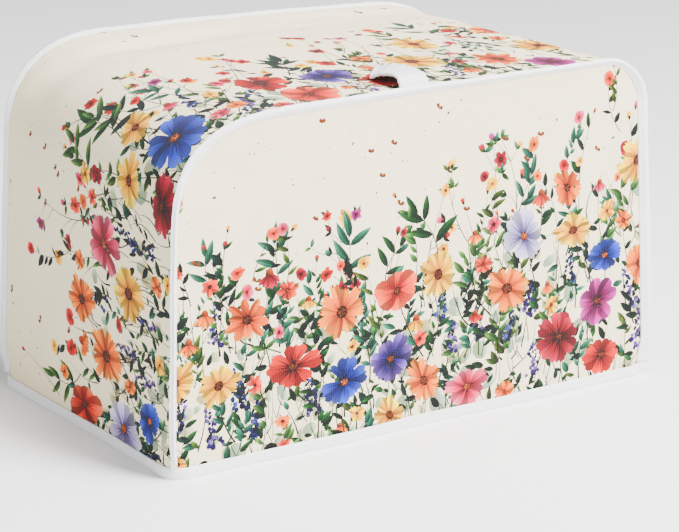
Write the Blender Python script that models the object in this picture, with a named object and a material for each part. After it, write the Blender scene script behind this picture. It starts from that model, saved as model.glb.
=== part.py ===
"""Fitted cloth cover for a two-slice toaster: two panels, a band, bound seams, a bound hem and a strap."""
import math

import bmesh
import bpy
import numpy as np
from mathutils import Vector
from mathutils.geometry import delaunay_2d_cdt

# Overall form, to the outer edges of the bindings. The front faces -Y and the hem stands on Z = 0.
WIDTH = 0.305
DEPTH = 0.185
HEIGHT = 0.1886
FLARE = 0.0500          # the hem is wider than the shoulders by this share
BACK_LIFT = 0.0101      # the back edge stands higher at its left end
CROWN_FRONT = 0.0010
CROWN_BACK = 0.0029

# Corners of the two panels: height, width and roundness (2 is an ellipse, more is squarer)
CORNER_FRONT_LEFT = (0.0610, 0.0745, 2.80)
CORNER_FRONT_RIGHT = (0.0240, 0.0233, 2.00)
CORNER_BACK_LEFT = (0.0525, 0.0605, 2.52)
CORNER_BACK_RIGHT = (0.0428, 0.0569, 2.00)

# Cloth and gaps
CLOTH = 0.0020
GAP = 0.0004
SEAM_IN_LEFT = 0.0036   # from the outer edge of the binding in to the seam
SEAM_IN_RIGHT = 0.0042
SEAM_IN_TOP = 0.0032
SEAM_IN_FACE = 0.0036   # the same, from the front and back edges of the bindings
BACK_OUT = 0.0015       # the back binding lies flatter, so its seam runs this much further out
RIM_OUTER = 0.0018      # cloth stops this far from the seam corner on its outer face
RIM_INNER = CLOTH + 0.0004

# Plan corners: soft near the hem, where no flange holds the corner sharp
CORNER_HEM = 0.0100
CORNER_HIGH = 0.0034
CORNER_FADE = (0.0075, 0.0240)  # heights between which the corner sharpens

# Hem binding, a channel round the cut edge of the cloth
HEM_TALL = 0.0062
HEM_WALL = 0.0009
CLOTH_FOOT = HEM_WALL + GAP

# Seam binding: rows of place along the outline, depth of the flange, lean from outward to forward in degrees
BINDING_THICK = 0.0019
BINDING_ROOT = 0.00065
BINDING_STEM = 0.0014
BINDING_FOOT = HEM_TALL + GAP
FLANGE_FRONT = (
    (0.0, 0.0046, 45),
    (1.0, 0.0046, 45),
    (1.5, 0.0052, 18),
    (2.0, 0.0048, 36),
    (3.0, 0.0044, 52),
    (4.0, 0.0066, 36),
    (5.0, 0.0074, 30),
)
FLANGE_BACK = (
    (0.0, 0.0044, 48),
    (1.5, 0.0046, 58),
    (3.0, 0.0042, 62),
    (5.0, 0.0046, 48),
)

# Soft trough across the top, in front of the back seam, with its depth at places along the outline.
# Round the left corner it pulls inward more than down.
TROUGH_BEHIND = 0.0300
TROUGH_WIDE = 0.0130
TROUGH_INWARD = 0.6
TROUGH_LESS_DOWN = 0.4
TROUGH_DEPTH = ((0.9, 0.0), (1.4, 0.0022), (2.0, 0.0048), (2.6, 0.0030), (3.2, 0.0008), (4.2, 0.0))

# Unevenness of the standing cloth
BELLY_SIDE = 0.0016
BELLY_FACE = 0.0012
WAVE = 0.0007
WAVE_LONG = 0.115
WAVE_PHASE = 1.1
WAVE_SLANT = 0.6        # the wave runs this much along Y for each step along X
WAVE_HIGH = 0.4         # share of the wave that is left at the top

# Strap: width, thickness, how far back its two edges run, and its arch as share of the run and height
STRAP_WIDE = 0.0190
STRAP_THICK = 0.0016
STRAP_START = 0.0017
STRAP_RUN_LEFT = 0.0260
STRAP_RUN_RIGHT = 0.0457
STRAP_DRIFT = 0.0040
STRAP_MIDDLE = -0.0016
STRAP_ARCH = (
    (0.000, 0.0003),
    (0.030, 0.0032),
    (0.110, 0.0054),
    (0.260, 0.0060),
    (0.450, 0.0056),
    (0.650, 0.0043),
    (0.820, 0.0024),
    (0.930, 0.0008),
    (1.000, 0.0003),
)

# Mesh steps
SIDE_STEPS = (0.0, 0.050, 0.098, 0.150, 0.210, 0.470, 0.740, 1.0)
CORNER_STEPS = 9
TOP_STEPS = 9
RINGS_OUTER = (RIM_OUTER, 0.0035, 0.0053, 0.0075, CORNER_HEM)
RINGS_INNER = (RIM_INNER, 0.0042, 0.0058, 0.0077, CORNER_HEM)
ARC_STEPS = 8
GRID = 0.030
ROWS_BETWEEN = 3

STRAP_STEPS = 18
STRAP_COLUMNS = 5
SMALL_STEP = 0.004      # for slopes along the outline
STRAP_SLOPE_STEP = 0.012
SHARP = math.radians(50)

CREAM = (0.83, 0.79, 0.71, 1.0)
WHITE = (0.86, 0.86, 0.88, 1.0)


def blend(low, high, share):
    return low + (high - low) * share


def smooth(share):
    share = min(1.0, max(0.0, share))
    return share * share * (3 - 2 * share)


def read_table(table, place, column=1):
    """Value of a table's column at a place, eased between its rows"""
    for low, high in zip(table, table[1:]):
        if place <= high[0]:
            return blend(low[column], high[column], smooth((place - low[0]) / (high[0] - low[0])))
    return table[-1][column]


def outline(place, back):
    """Seam line of a panel as x and z: left side to 1, corner to 2, top to 3, corner to 4, right side to 5"""
    left_tall, left_wide, left_round = CORNER_BACK_LEFT if back else CORNER_FRONT_LEFT
    right_tall, right_wide, right_round = CORNER_BACK_RIGHT if back else CORNER_FRONT_RIGHT
    out = BACK_OUT if back else 0.0
    left = -WIDTH / 2 + SEAM_IN_LEFT - out
    right = WIDTH / 2 - SEAM_IN_RIGHT + out
    lift = BACK_LIFT if back else 0.0
    crown = CROWN_BACK if back else CROWN_FRONT
    high = HEIGHT - SEAM_IN_TOP + out

    def top(x):
        across = (x - left) / (right - left)
        return high + lift * (1 - across) + crown * (1 - (2 * across - 1) ** 2)

    left_base = high + lift - left_tall
    right_base = high - right_tall
    if place <= 1:
        return left, blend(CLOTH_FOOT, left_base, place)
    if place <= 2:
        angle = (place - 1) * math.pi / 2
        x = left + left_wide * (1 - max(0.0, math.cos(angle)) ** (2 / left_round))
        return x, left_base + (top(x) - left_base) * math.sin(angle) ** (2 / left_round)
    if place <= 3:
        x = blend(left + left_wide, right - right_wide, place - 2)
        return x, top(x)
    if place <= 4:
        angle = (4 - place) * math.pi / 2
        x = right - right_wide * (1 - max(0.0, math.cos(angle)) ** (2 / right_round))
        return x, right_base + (top(x) - right_base) * math.sin(angle) ** (2 / right_round)
    return right, blend(right_base, CLOTH_FOOT, place - 4)


def station(place, share):
    """Point and inward normal, as x and z, of the outline that lies a share of the way to the back"""
    def point(at):
        front = outline(at, False)
        back = outline(at, True)
        return blend(front[0], back[0], share), blend(front[1], back[1], share)

    x, z = point(place)
    before = point(max(0.0, place - SMALL_STEP))
    after = point(min(5.0, place + SMALL_STEP))
    along_x, along_z = after[0] - before[0], after[1] - before[1]
    size = math.hypot(along_x, along_z)
    return x, z, along_z / size, -along_x / size


def corner_radius(z):
    low, high = CORNER_FADE
    return blend(CORNER_HEM, CORNER_HIGH, smooth((z - low) / (high - low)))


def round_corner(inside, behind, radius):
    """Bend the square edge between a panel and the band into an arc, with the seam in its middle"""
    if max(inside, behind) >= radius:
        return inside, behind
    swap = behind > inside
    along, deep = (behind, inside) if swap else (inside, behind)
    angle = math.pi / 4 * (radius - along) / (radius - deep)
    along = radius - (radius - deep) * math.sin(angle)
    deep = radius - (radius - deep) * math.cos(angle)
    return (deep, along) if swap else (along, deep)


def drape(x, y, z, place):
    """Flare, belly, soft waves and the top's trough, laid on a point of the plain form"""
    high = z / HEIGHT
    swell = math.sin(math.pi * min(1.0, max(0.0, high)))
    flare = 1 + FLARE * (1 - high)
    across, deep = x / (WIDTH / 2), y / (DEPTH / 2)
    turn = 2 * math.pi * (x + WAVE_SLANT * y) / WAVE_LONG + WAVE_PHASE
    wave = WAVE * math.sin(turn) * blend(1.0, WAVE_HIGH, high)
    out_x = BELLY_SIDE * swell * across ** 3 * (1 - deep * deep) + wave * across ** 5
    out_y = BELLY_FACE * swell * deep ** 3 * (1 - across * across) + wave * deep ** 5
    fold = (y - (DEPTH / 2 - TROUGH_BEHIND)) / TROUGH_WIDE
    trough = read_table(TROUGH_DEPTH, place) if place > TROUGH_DEPTH[0][0] else 0.0
    down = trough * math.exp(-fold * fold)
    slant = smooth(2.0 - place)
    x = x * flare + out_x + down * slant * TROUGH_INWARD
    return Vector((x, y * flare + out_y, z - down * (1 - TROUGH_LESS_DOWN * slant)))


def shell_point(place, share, inside, behind, side):
    """Point at a depth inside the outline and behind a face plane; side is -1 at the front, 1 at the back"""
    x, z, inward_x, inward_z = station(place, share)
    inside, behind = round_corner(inside, behind, corner_radius(z))
    face = DEPTH / 2 - SEAM_IN_FACE
    return drape(x + inward_x * inside, side * (face - behind), z + inward_z * inside, place)


def places():
    """Places along the outline where the meshes have a row of points"""
    left = list(SIDE_STEPS)
    corner = [1 + (step + 1) / CORNER_STEPS for step in range(CORNER_STEPS)]
    top = [2 + (step + 1) / TOP_STEPS for step in range(TOP_STEPS)]
    other = [at + 2 for at in corner]
    return left + corner + top + other + [5 - share for share in reversed(SIDE_STEPS[:-1])]


def make_material(name, colour, roughness):
    material = bpy.data.materials.new(name)
    material.use_nodes = True
    shader = material.node_tree.nodes["Principled BSDF"]
    shader.inputs["Base Color"].default_value = colour
    shader.inputs["Roughness"].default_value = roughness
    shader.inputs["Metallic"].default_value = 0.0
    return material


def make_piece(name, points, faces, colour, roughness=0.9):
    mesh = bpy.data.meshes.new(name)
    mesh.from_pydata([tuple(point) for point in points], [], faces)
    shell = bmesh.new()
    shell.from_mesh(mesh)
    bmesh.ops.recalc_face_normals(shell, faces=shell.faces)
    shell.to_mesh(mesh)
    shell.free()
    mesh.materials.append(make_material(name + "_cloth", colour, roughness))
    piece = bpy.data.objects.new(name, mesh)
    bpy.context.scene.collection.objects.link(piece)
    mesh.shade_smooth()
    mesh.set_sharp_from_angle(angle=SHARP)
    return piece


def grid_faces(rows, columns, first=0):
    """Quads of a grid of points, numbered row by row"""
    faces = []
    for row in range(rows - 1):
        for column in range(columns - 1):
            corner = first + row * columns + column
            faces.append([corner, corner + 1, corner + columns + 1, corner + columns])
    return faces


def rim_faces(loop, second):
    """Quads between a loop of point numbers and the same loop on the second layer"""
    return [[there, here, here + second, there + second] for here, there in zip(loop, loop[1:] + loop[:1])]


def tube_faces(stations, ring, closed):
    """Quads and caps of a sweep whose stations are rings of points"""
    faces = []
    spans = stations if closed else stations - 1
    for span in range(spans):
        first, second = span * ring, (span + 1) % stations * ring
        for corner in range(ring):
            after = (corner + 1) % ring
            faces.append([first + corner, first + after, second + after, second + corner])
    if not closed:
        faces.append(list(range(ring))[::-1])
        faces.append([(stations - 1) * ring + corner for corner in range(ring)])
    return faces


def make_panel(name, back):
    """Flat panel: rings of points along the seam, a coarse grid between them, two layers and a rim"""
    side = 1 if back else -1
    share = 1.0 if back else 0.0
    stops = places()
    plan = []
    outer = []
    inner = []
    for depth_outer, depth_inner in zip(RINGS_OUTER, RINGS_INNER):
        for place in stops:
            x, z, inward_x, inward_z = station(place, share)
            plan.append(Vector((x + inward_x * depth_outer, z + inward_z * depth_outer)))
            outer.append(shell_point(place, share, depth_outer, 0.0, side))
            inner.append(shell_point(place, share, depth_inner, CLOTH, side))

    face = DEPTH / 2 - SEAM_IN_FACE

    def add_free(x, z):
        plan.append(Vector((x, z)))
        outer.append(drape(x, side * face, z, 0.0))
        inner.append(drape(x, side * (face - CLOTH), z, 0.0))

    count = len(stops)
    rim = np.array([plan[number] for number in range(count)])
    last = len(RINGS_OUTER) - 1
    left, right = plan[last * count].x, plan[last * count + count - 1].x
    columns = round((right - left) / GRID)
    foot_line = []
    for column in range(1, columns):
        foot_line.append(len(plan))
        add_free(blend(left, right, column / columns), CLOTH_FOOT)
    for row in range(1, round(HEIGHT / GRID)):
        for column in range(columns + 1):
            x, z = blend(left, right, column / columns), CLOTH_FOOT + row * GRID
            if np.hypot(rim[:, 0] - x, rim[:, 1] - z).min() > RINGS_OUTER[-1] + GRID / 4:
                if z < rim[np.abs(rim[:, 0] - x).argmin(), 1]:
                    add_free(x, z)

    border = list(range(count))
    border += [ring * count + count - 1 for ring in range(1, last + 1)]
    border += foot_line[::-1]
    border += [ring * count for ring in range(last, 0, -1)]
    found = delaunay_2d_cdt(plan, [], [border], 1, 1e-7, True)
    came_from = [numbers[0] for numbers in found[3]]
    triangles = [[came_from[corner] for corner in triangle] for triangle in found[2]]
    total = len(plan)
    faces = triangles + [[corner + total for corner in triangle] for triangle in triangles]
    faces += rim_faces(border, total)
    return make_piece(name, outer + inner, faces, CREAM)


def band_rows():
    """Rows across the band as depth behind a face, for the outer and the inner layer, and the side"""
    flat = DEPTH - 2 * SEAM_IN_FACE
    rows = [(outer, inner, -1) for outer, inner in zip(RINGS_OUTER, RINGS_INNER)]
    trough = TROUGH_BEHIND - SEAM_IN_FACE
    stops = [flat * (step + 1) / (ROWS_BETWEEN + 1) for step in range(ROWS_BETWEEN)]
    rows += [(stop, stop, -1) for stop in stops if stop < flat - trough - 2 * TROUGH_WIDE]
    rows += [(trough + offset, trough + offset, 1) for offset in (TROUGH_WIDE * 1.3, TROUGH_WIDE * 0.6, 0.0)]
    rows += [(outer, inner, 1) for outer, inner in zip(RINGS_OUTER[::-1], RINGS_INNER[::-1])]
    return rows


def make_band():
    """One strip over both sides and the top, whose section changes from the front to the back outline"""
    flat = DEPTH - 2 * SEAM_IN_FACE
    rows = band_rows()
    stops = places()
    layers = []
    for depth, column in ((0.0, 0), (CLOTH, 1)):
        for place in stops:
            for row in rows:
                behind = row[column]
                share = behind / flat if row[2] < 0 else 1 - behind / flat
                layers.append(shell_point(place, share, depth, behind, row[2]))
    stations, across = len(stops), len(rows)
    total = stations * across
    faces = grid_faces(stations, across)
    faces += grid_faces(stations, across, total)
    loop = list(range(across))
    loop += [station_number * across + across - 1 for station_number in range(1, stations)]
    loop += [(stations - 1) * across + row for row in range(across - 2, -1, -1)]
    loop += [station_number * across for station_number in range(stations - 2, 0, -1)]
    faces += rim_faces(loop, total)
    return make_piece("band", layers, faces, CREAM)


def flange_section(depth, lean):
    """Points round a bound seam, outward and forward of it: a stem at 45 degrees, then the leaning flap"""
    half = BINDING_THICK / 2
    stem = math.radians(45)
    lean = math.radians(lean)
    middle = blend(stem, lean, 0.5)
    spine = [(-BINDING_ROOT * math.cos(stem), -BINDING_ROOT * math.sin(stem), stem)]
    spine.append((BINDING_STEM * math.cos(stem), BINDING_STEM * math.sin(stem), middle))
    flap = depth - BINDING_STEM
    reach = flap - half * 0.6
    spine.append((spine[1][0] + reach * math.cos(lean), spine[1][1] + reach * math.sin(lean), lean))
    upper = [(out - half * math.sin(turn), ahead + half * math.cos(turn)) for out, ahead, turn in spine]
    lower = [(out + half * math.sin(turn), ahead - half * math.cos(turn)) for out, ahead, turn in spine]
    tip = (spine[1][0] + flap * math.cos(lean), spine[1][1] + flap * math.sin(lean))
    round_tip = [
        (tip[0] - half * 0.5 * math.sin(lean), tip[1] + half * 0.5 * math.cos(lean)),
        (tip[0] + half * 0.5 * math.sin(lean), tip[1] - half * 0.5 * math.cos(lean)),
    ]
    return upper + round_tip + lower[::-1]


def make_seam_binding(name, back, table):
    """Binding tape round the two raw edges of a seam, standing outward from hem to hem"""
    share = 1.0 if back else 0.0
    side = 1 if back else -1
    points = []
    tall = outline(1.0, back)[1] - CLOTH_FOOT
    tall_right = outline(4.0, back)[1] - CLOTH_FOOT
    start = (BINDING_FOOT - CLOTH_FOOT) / tall
    end = 5 - (BINDING_FOOT - CLOTH_FOOT) / tall_right
    stops = [start] + [place for place in places() if start + 0.02 < place < end - 0.02] + [end]
    ring = 0
    for place in stops:
        section = flange_section(read_table(table, place, 1), read_table(table, place, 2))
        ring = len(section)
        for outward, forward in section:
            points.append(shell_point(place, share, -outward, -forward, side))
    return make_piece(name, points, tube_faces(len(stops), ring, closed=False), WHITE, 0.85)


def plan_path():
    """Hem line in plan, as corner or side points with their outward direction, once round"""
    left = -WIDTH / 2 + SEAM_IN_LEFT
    right = WIDTH / 2 - SEAM_IN_RIGHT
    face = DEPTH / 2 - SEAM_IN_FACE
    centres = (
        (right - CORNER_HEM, -face + CORNER_HEM, -90),
        (right + BACK_OUT - CORNER_HEM, face - CORNER_HEM, 0),
        (left - BACK_OUT + CORNER_HEM, face - CORNER_HEM, 90),
        (left + CORNER_HEM, -face + CORNER_HEM, 180),
    )
    path = []
    for number, (x, y, start) in enumerate(centres):
        for step in range(ARC_STEPS + 1):
            turn = math.radians(start + 90 * step / ARC_STEPS)
            out = Vector((math.cos(turn), math.sin(turn)))
            path.append((Vector((x, y)) + out * CORNER_HEM, out))
        ahead = centres[(number + 1) % len(centres)]
        here = path[-1][0]
        out = path[-1][1]
        there = Vector((ahead[0], ahead[1])) + out * CORNER_HEM
        steps = max(2, round((there - here).length / GRID))
        path += [(here.lerp(there, step / steps), out) for step in range(1, steps)]
    return path


def make_hem_binding():
    """Channel that holds the cut edge of panels and band, flat underneath"""
    near, far = CLOTH + GAP, CLOTH + GAP + HEM_WALL
    section = (
        (GAP + HEM_WALL, 0.0),
        (GAP + HEM_WALL, HEM_TALL),
        (GAP, HEM_TALL),
        (GAP, HEM_WALL),
        (-near, HEM_WALL),
        (-near, HEM_TALL),
        (-far, HEM_TALL),
        (-far, 0.0),
    )
    points = []
    path = plan_path()
    for spot, out in path:
        for outward, high in section:
            place = spot + out * outward
            points.append(drape(place.x, place.y, high, 0.0))
    return make_piece("binding_hem", points, tube_faces(len(path), len(section), closed=True), WHITE, 0.85)


def top_height(x, behind):
    """Outer surface of the top at x, a distance behind the front seam"""
    flat = DEPTH - 2 * SEAM_IN_FACE
    share = behind / flat
    low = station(2.0, share)[0]
    high = station(3.0, share)[0]
    place = 2 + (x - low) / (high - low)
    return shell_point(place, share, 0.0, behind, -1).z


def strap_point(share, side, layer):
    """Point of the strap: share of its run, side 0 to 1 across it, layer 0 underneath and 1 on top"""
    run = blend(STRAP_RUN_LEFT, STRAP_RUN_RIGHT, side)
    rise = read_table(STRAP_ARCH, share + STRAP_SLOPE_STEP) - read_table(STRAP_ARCH, share)
    length = math.hypot(STRAP_SLOPE_STEP * run, rise)
    thick = STRAP_THICK * layer
    x = STRAP_MIDDLE + STRAP_WIDE * (side - 0.5) - STRAP_DRIFT * share * share * (1 + side) / 2
    behind = STRAP_START + share * run + (STRAP_THICK - thick) * rise / length
    base = top_height(x, max(behind, CORNER_HIGH))
    high = read_table(STRAP_ARCH, share) + thick * STRAP_SLOPE_STEP * run / length
    front = -(DEPTH / 2 - SEAM_IN_FACE)
    return Vector((x, (front + behind) * (1 + FLARE * (1 - base / HEIGHT)), base + high))


def make_handle():
    """Strap loop from the front seam back over the top, its far end sewn down on a slant"""
    points = []
    for step in range(STRAP_STEPS + 1):
        share = step / STRAP_STEPS
        share = share * (0.55 + 0.45 * share)   # closer steps near the steep foot
        across = [column / (STRAP_COLUMNS - 1) for column in range(STRAP_COLUMNS)]
        points += [strap_point(share, side, 0) for side in across]
        points += [strap_point(share, side, 1) for side in reversed(across)]
    return make_piece("handle", points, tube_faces(STRAP_STEPS + 1, 2 * STRAP_COLUMNS, False), WHITE, 0.8)


def main():
    for old in list(bpy.data.objects):
        bpy.data.objects.remove(old, do_unlink=True)
    make_panel("panel_front", back=False)
    make_panel("panel_back", back=True)
    make_band()
    make_seam_binding("binding_front", False, FLANGE_FRONT)
    make_seam_binding("binding_back", True, FLANGE_BACK)
    make_hem_binding()
    make_handle()


main()
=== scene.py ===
"""Looks of the fitted cloth toaster cover: printed canvas, bound seams, bound hem and a strap loop."""
import math
import random
from collections import namedtuple

import bpy
import numpy as np
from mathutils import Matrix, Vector
from mathutils.geometry import delaunay_2d_cdt
from mathutils.kdtree import KDTree


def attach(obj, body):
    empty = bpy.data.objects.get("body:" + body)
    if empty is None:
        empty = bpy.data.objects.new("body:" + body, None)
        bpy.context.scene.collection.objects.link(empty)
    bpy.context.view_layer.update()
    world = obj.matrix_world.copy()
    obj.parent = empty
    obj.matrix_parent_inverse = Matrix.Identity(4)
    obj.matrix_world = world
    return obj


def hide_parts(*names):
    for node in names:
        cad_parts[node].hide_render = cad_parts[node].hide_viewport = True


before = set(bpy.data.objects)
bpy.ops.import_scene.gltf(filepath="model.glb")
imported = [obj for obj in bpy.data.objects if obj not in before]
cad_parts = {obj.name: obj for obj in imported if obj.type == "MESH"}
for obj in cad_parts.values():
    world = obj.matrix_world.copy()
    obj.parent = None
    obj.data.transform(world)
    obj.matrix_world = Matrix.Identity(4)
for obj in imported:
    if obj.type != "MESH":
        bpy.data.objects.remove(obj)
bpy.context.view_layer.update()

# Form of the cover, as in its solids, in metres. The front faces -Y.
WIDTH = 0.305
DEPTH = 0.185
HEIGHT = 0.1886
FLARE = 0.0500
BACK_LIFT = 0.0101
CROWN_FRONT = 0.0010
CROWN_BACK = 0.0029
CORNER_FRONT_LEFT = (0.0610, 0.0745, 2.80)
CORNER_FRONT_RIGHT = (0.0240, 0.0233, 2.00)
CORNER_BACK_LEFT = (0.0525, 0.0605, 2.52)
CORNER_BACK_RIGHT = (0.0428, 0.0569, 2.00)
CLOTH = 0.0020
SEAM_IN_LEFT = 0.0036
SEAM_IN_RIGHT = 0.0042
SEAM_IN_TOP = 0.0032
SEAM_IN_FACE = 0.0036
BACK_OUT = 0.0015
CORNER_HEM = 0.0100
CORNER_HIGH = 0.0034
CORNER_FADE = (0.0075, 0.0240)
HEM_TALL = 0.0062
CLOTH_FOOT = 0.0013
RIM_OUTER = 0.0014       # cut edges of the cloth beside a seam, on its outer and inner face
RIM_INNER = 0.0026
TROUGH_BEHIND = 0.0300
TROUGH_WIDE = 0.0130
TROUGH_INWARD = 0.6
TROUGH_LESS_DOWN = 0.4
TROUGH_DEPTH = ((0.9, 0.0), (1.4, 0.0022), (2.0, 0.0048), (2.6, 0.0030), (3.2, 0.0008), (4.2, 0.0))
BELLY_SIDE = 0.0016
BELLY_FACE = 0.0012
WAVE = 0.0007
WAVE_LONG = 0.115
WAVE_PHASE = 1.1
WAVE_SLANT = 0.6
WAVE_HIGH = 0.4
FACE = DEPTH / 2 - SEAM_IN_FACE
RUN = 2 * FACE          # from the front seam to the back seam

# Seam binding: places along the outline, depth of the flange, lean from outward to forward in degrees
FLANGE_FRONT = (
    (0.0, 0.0046, 45), (1.0, 0.0046, 45), (1.5, 0.0052, 18), (2.0, 0.0048, 36),
    (3.0, 0.0044, 52), (4.0, 0.0066, 36), (5.0, 0.0074, 30),
)
FLANGE_BACK = ((0.0, 0.0044, 48), (1.5, 0.0046, 58), (3.0, 0.0042, 62), (5.0, 0.0046, 48))
BINDING_THICK = 0.0019
BINDING_STEM = 0.0014

# Strap, as in its solid
STRAP_WIDE = 0.0190
STRAP_THICK = 0.0016
STRAP_START = 0.0017
STRAP_RUN_LEFT = 0.0260
STRAP_RUN_RIGHT = 0.0457
STRAP_DRIFT = 0.0040
STRAP_MIDDLE = -0.0016
STRAP_ARCH = (
    (0.000, 0.0003), (0.030, 0.0032), (0.110, 0.0054), (0.260, 0.0060), (0.450, 0.0056),
    (0.650, 0.0043), (0.820, 0.0024), (0.930, 0.0008), (1.000, 0.0003),
)

# Camera, in the photograph's frame
FRAME_WIDE = 679
FOCAL_PIXELS = 2861
SENSOR = 36
AZIMUTH = math.radians(-33.29)
ELEVATION = math.radians(17.01)
TARGET = Vector((0.0013, -0.0102, 0.0689))
DISTANCE = 1.6048


def blend(low, high, share):
    return low + (high - low) * share


def smooth(share):
    share = np.clip(share, 0.0, 1.0)
    return share * share * (3 - 2 * share)


def read_table(table, place, column=1):
    """Values of a table's column at places, eased between its rows"""
    value = np.full(np.shape(place), float(table[0][column]))
    for low, high in zip(table, table[1:]):
        value = value + (high[column] - low[column]) * smooth((place - low[0]) / (high[0] - low[0]))
    return value


def outline(place, back):
    """Seam line of a panel as x and z: left side to place 1, corner to 2, top to 3, corner to 4, side to 5"""
    left_tall, left_wide, left_round = CORNER_BACK_LEFT if back else CORNER_FRONT_LEFT
    right_tall, right_wide, right_round = CORNER_BACK_RIGHT if back else CORNER_FRONT_RIGHT
    out = BACK_OUT if back else 0.0
    left = -WIDTH / 2 + SEAM_IN_LEFT - out
    right = WIDTH / 2 - SEAM_IN_RIGHT + out
    lift = BACK_LIFT if back else 0.0
    crown = CROWN_BACK if back else CROWN_FRONT
    high = HEIGHT - SEAM_IN_TOP + out

    def top(x):
        across = (x - left) / (right - left)
        return high + lift * (1 - across) + crown * (1 - (2 * across - 1) ** 2)

    left_base = high + lift - left_tall
    right_base = high - right_tall
    if place <= 1:
        return left, blend(CLOTH_FOOT, left_base, place)
    if place <= 2:
        angle = (place - 1) * math.pi / 2
        x = left + left_wide * (1 - max(0.0, math.cos(angle)) ** (2 / left_round))
        return x, left_base + (top(x) - left_base) * math.sin(angle) ** (2 / left_round)
    if place <= 3:
        x = blend(left + left_wide, right - right_wide, place - 2)
        return x, top(x)
    if place <= 4:
        angle = (4 - place) * math.pi / 2
        x = right - right_wide * (1 - max(0.0, math.cos(angle)) ** (2 / right_round))
        return x, right_base + (top(x) - right_base) * math.sin(angle) ** (2 / right_round)
    return right, blend(right_base, CLOTH_FOOT, place - 4)


PLACES = np.linspace(0, 5, 1501)
LINE_FRONT = np.array([outline(place, False) for place in PLACES])
LINE_BACK = np.array([outline(place, True) for place in PLACES])


def inward_of(line):
    along = np.gradient(line, axis=0)
    along /= np.linalg.norm(along, axis=1)[:, None]
    return np.stack([along[:, 1], -along[:, 0]], 1)


IN_FRONT, IN_BACK = inward_of(LINE_FRONT), inward_of(LINE_BACK)
MIDDLE = (LINE_FRONT + LINE_BACK) / 2
STEPS = np.linalg.norm(np.diff(MIDDLE, axis=0), axis=1)
ALONG = np.concatenate([[0], np.cumsum(STEPS)])     # length along the band at each place
LONG = float(ALONG[-1])


def station(place, share):
    """Points and inward normals, as x and z, of the outline that lies a share of the way to the back"""
    found = []
    for front, back in ((LINE_FRONT, LINE_BACK), (IN_FRONT, IN_BACK)):
        for column in (0, 1):
            near = np.interp(place, PLACES, front[:, column])
            far = np.interp(place, PLACES, back[:, column])
            found.append(blend(near, far, share))
    x, z, inward_x, inward_z = found
    size = np.hypot(inward_x, inward_z)
    return x, z, inward_x / size, inward_z / size


def round_corner(inside, behind, z):
    """Bend the square edge between a panel and the band into an arc, with the seam in its middle"""
    low, high = CORNER_FADE
    radius = blend(CORNER_HEM, CORNER_HIGH, smooth((z - low) / (high - low)))
    swap = behind > inside
    along, deep = np.where(swap, behind, inside), np.where(swap, inside, behind)
    near = along < radius
    safe = np.where(near, radius - deep, 1.0)
    angle = np.pi / 4 * (radius - along) / safe
    new_along = np.where(near, radius - (radius - deep) * np.sin(angle), along)
    new_deep = np.where(near, radius - (radius - deep) * np.cos(angle), deep)
    return np.where(swap, new_deep, new_along), np.where(swap, new_along, new_deep)


def drape(x, y, z, place):
    """Flare, belly, soft waves and the top's trough, laid on points of the plain form"""
    high = z / HEIGHT
    swell = np.sin(np.pi * np.clip(high, 0.0, 1.0))
    flare = 1 + FLARE * (1 - high)
    across, deep = x / (WIDTH / 2), y / (DEPTH / 2)
    turn = 2 * np.pi * (x + WAVE_SLANT * y) / WAVE_LONG + WAVE_PHASE
    wave = WAVE * np.sin(turn) * blend(1.0, WAVE_HIGH, high)
    out_x = BELLY_SIDE * swell * across ** 3 * (1 - deep * deep) + wave * across ** 5
    out_y = BELLY_FACE * swell * deep ** 3 * (1 - across * across) + wave * deep ** 5
    fold = (y - (DEPTH / 2 - TROUGH_BEHIND)) / TROUGH_WIDE
    down = read_table(TROUGH_DEPTH, place) * np.exp(-fold * fold)
    slant = smooth(2.0 - place)
    x = x * flare + out_x + down * slant * TROUGH_INWARD
    return np.stack([x, y * flare + out_y, z - down * (1 - TROUGH_LESS_DOWN * slant)], -1)


def shell_point(place, share, inside, behind, side):
    """Points at a depth inside the outline and behind a face plane; side is -1 at the front, 1 at the back"""
    x, z, inward_x, inward_z = station(place, share)
    inside, behind = round_corner(inside, behind, z)
    return drape(x + inward_x * inside, side * (FACE - behind), z + inward_z * inside, place)


# Small relief of the cloth, outward: puckers along the seams, soft waves and slight creases at listed places.
# Creases of the band: two ends as length along and depth back, then depth and half width
CREASES = (
    (0.150, 0.176, 0.215, 0.128, -0.0016, 0.0060),
    (0.205, 0.158, 0.300, 0.166, 0.0013, 0.0070),
    (0.260, 0.120, 0.400, 0.136, -0.0009, 0.0080),
    (0.330, 0.168, 0.420, 0.160, -0.0011, 0.0050),
    (0.118, 0.090, 0.168, 0.020, 0.0005, 0.0080),
    (0.020, 0.150, 0.090, 0.110, -0.0005, 0.0090),
    (0.050, 0.030, 0.110, 0.060, 0.0004, 0.0100),
    (0.450, 0.060, 0.500, 0.140, -0.0008, 0.0080),
    (0.540, 0.030, 0.590, 0.120, 0.0006, 0.0090),
)
PUCKER = 0.00032
PUCKER_LONG = 0.0115
PUCKER_FADE = 0.0085
RIPPLE = 0.00035


def crease_relief(along, back):
    total = np.zeros(np.shape(along))
    for x0, y0, x1, y1, depth, wide in CREASES:
        run_x, run_y = x1 - x0, y1 - y0
        size = run_x * run_x + run_y * run_y
        at = np.clip(((along - x0) * run_x + (back - y0) * run_y) / size, 0, 1)
        off = np.hypot(along - x0 - at * run_x, back - y0 - at * run_y)
        total += depth * np.exp(-(off / wide) ** 2)
    return total


def ripple(u, v):
    waves = np.sin(u * 71 + v * 33 + 0.7) + np.sin(u * 43 - v * 97 + 2.1) + 0.7 * np.sin(u * 139 + v * 61)
    return RIPPLE * waves / 2


def pucker(along, off):
    turn = 2 * np.pi * along / PUCKER_LONG
    return PUCKER * np.sin(turn + 1.6 * np.sin(along * 57)) * np.exp(-off / PUCKER_FADE)


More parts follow.
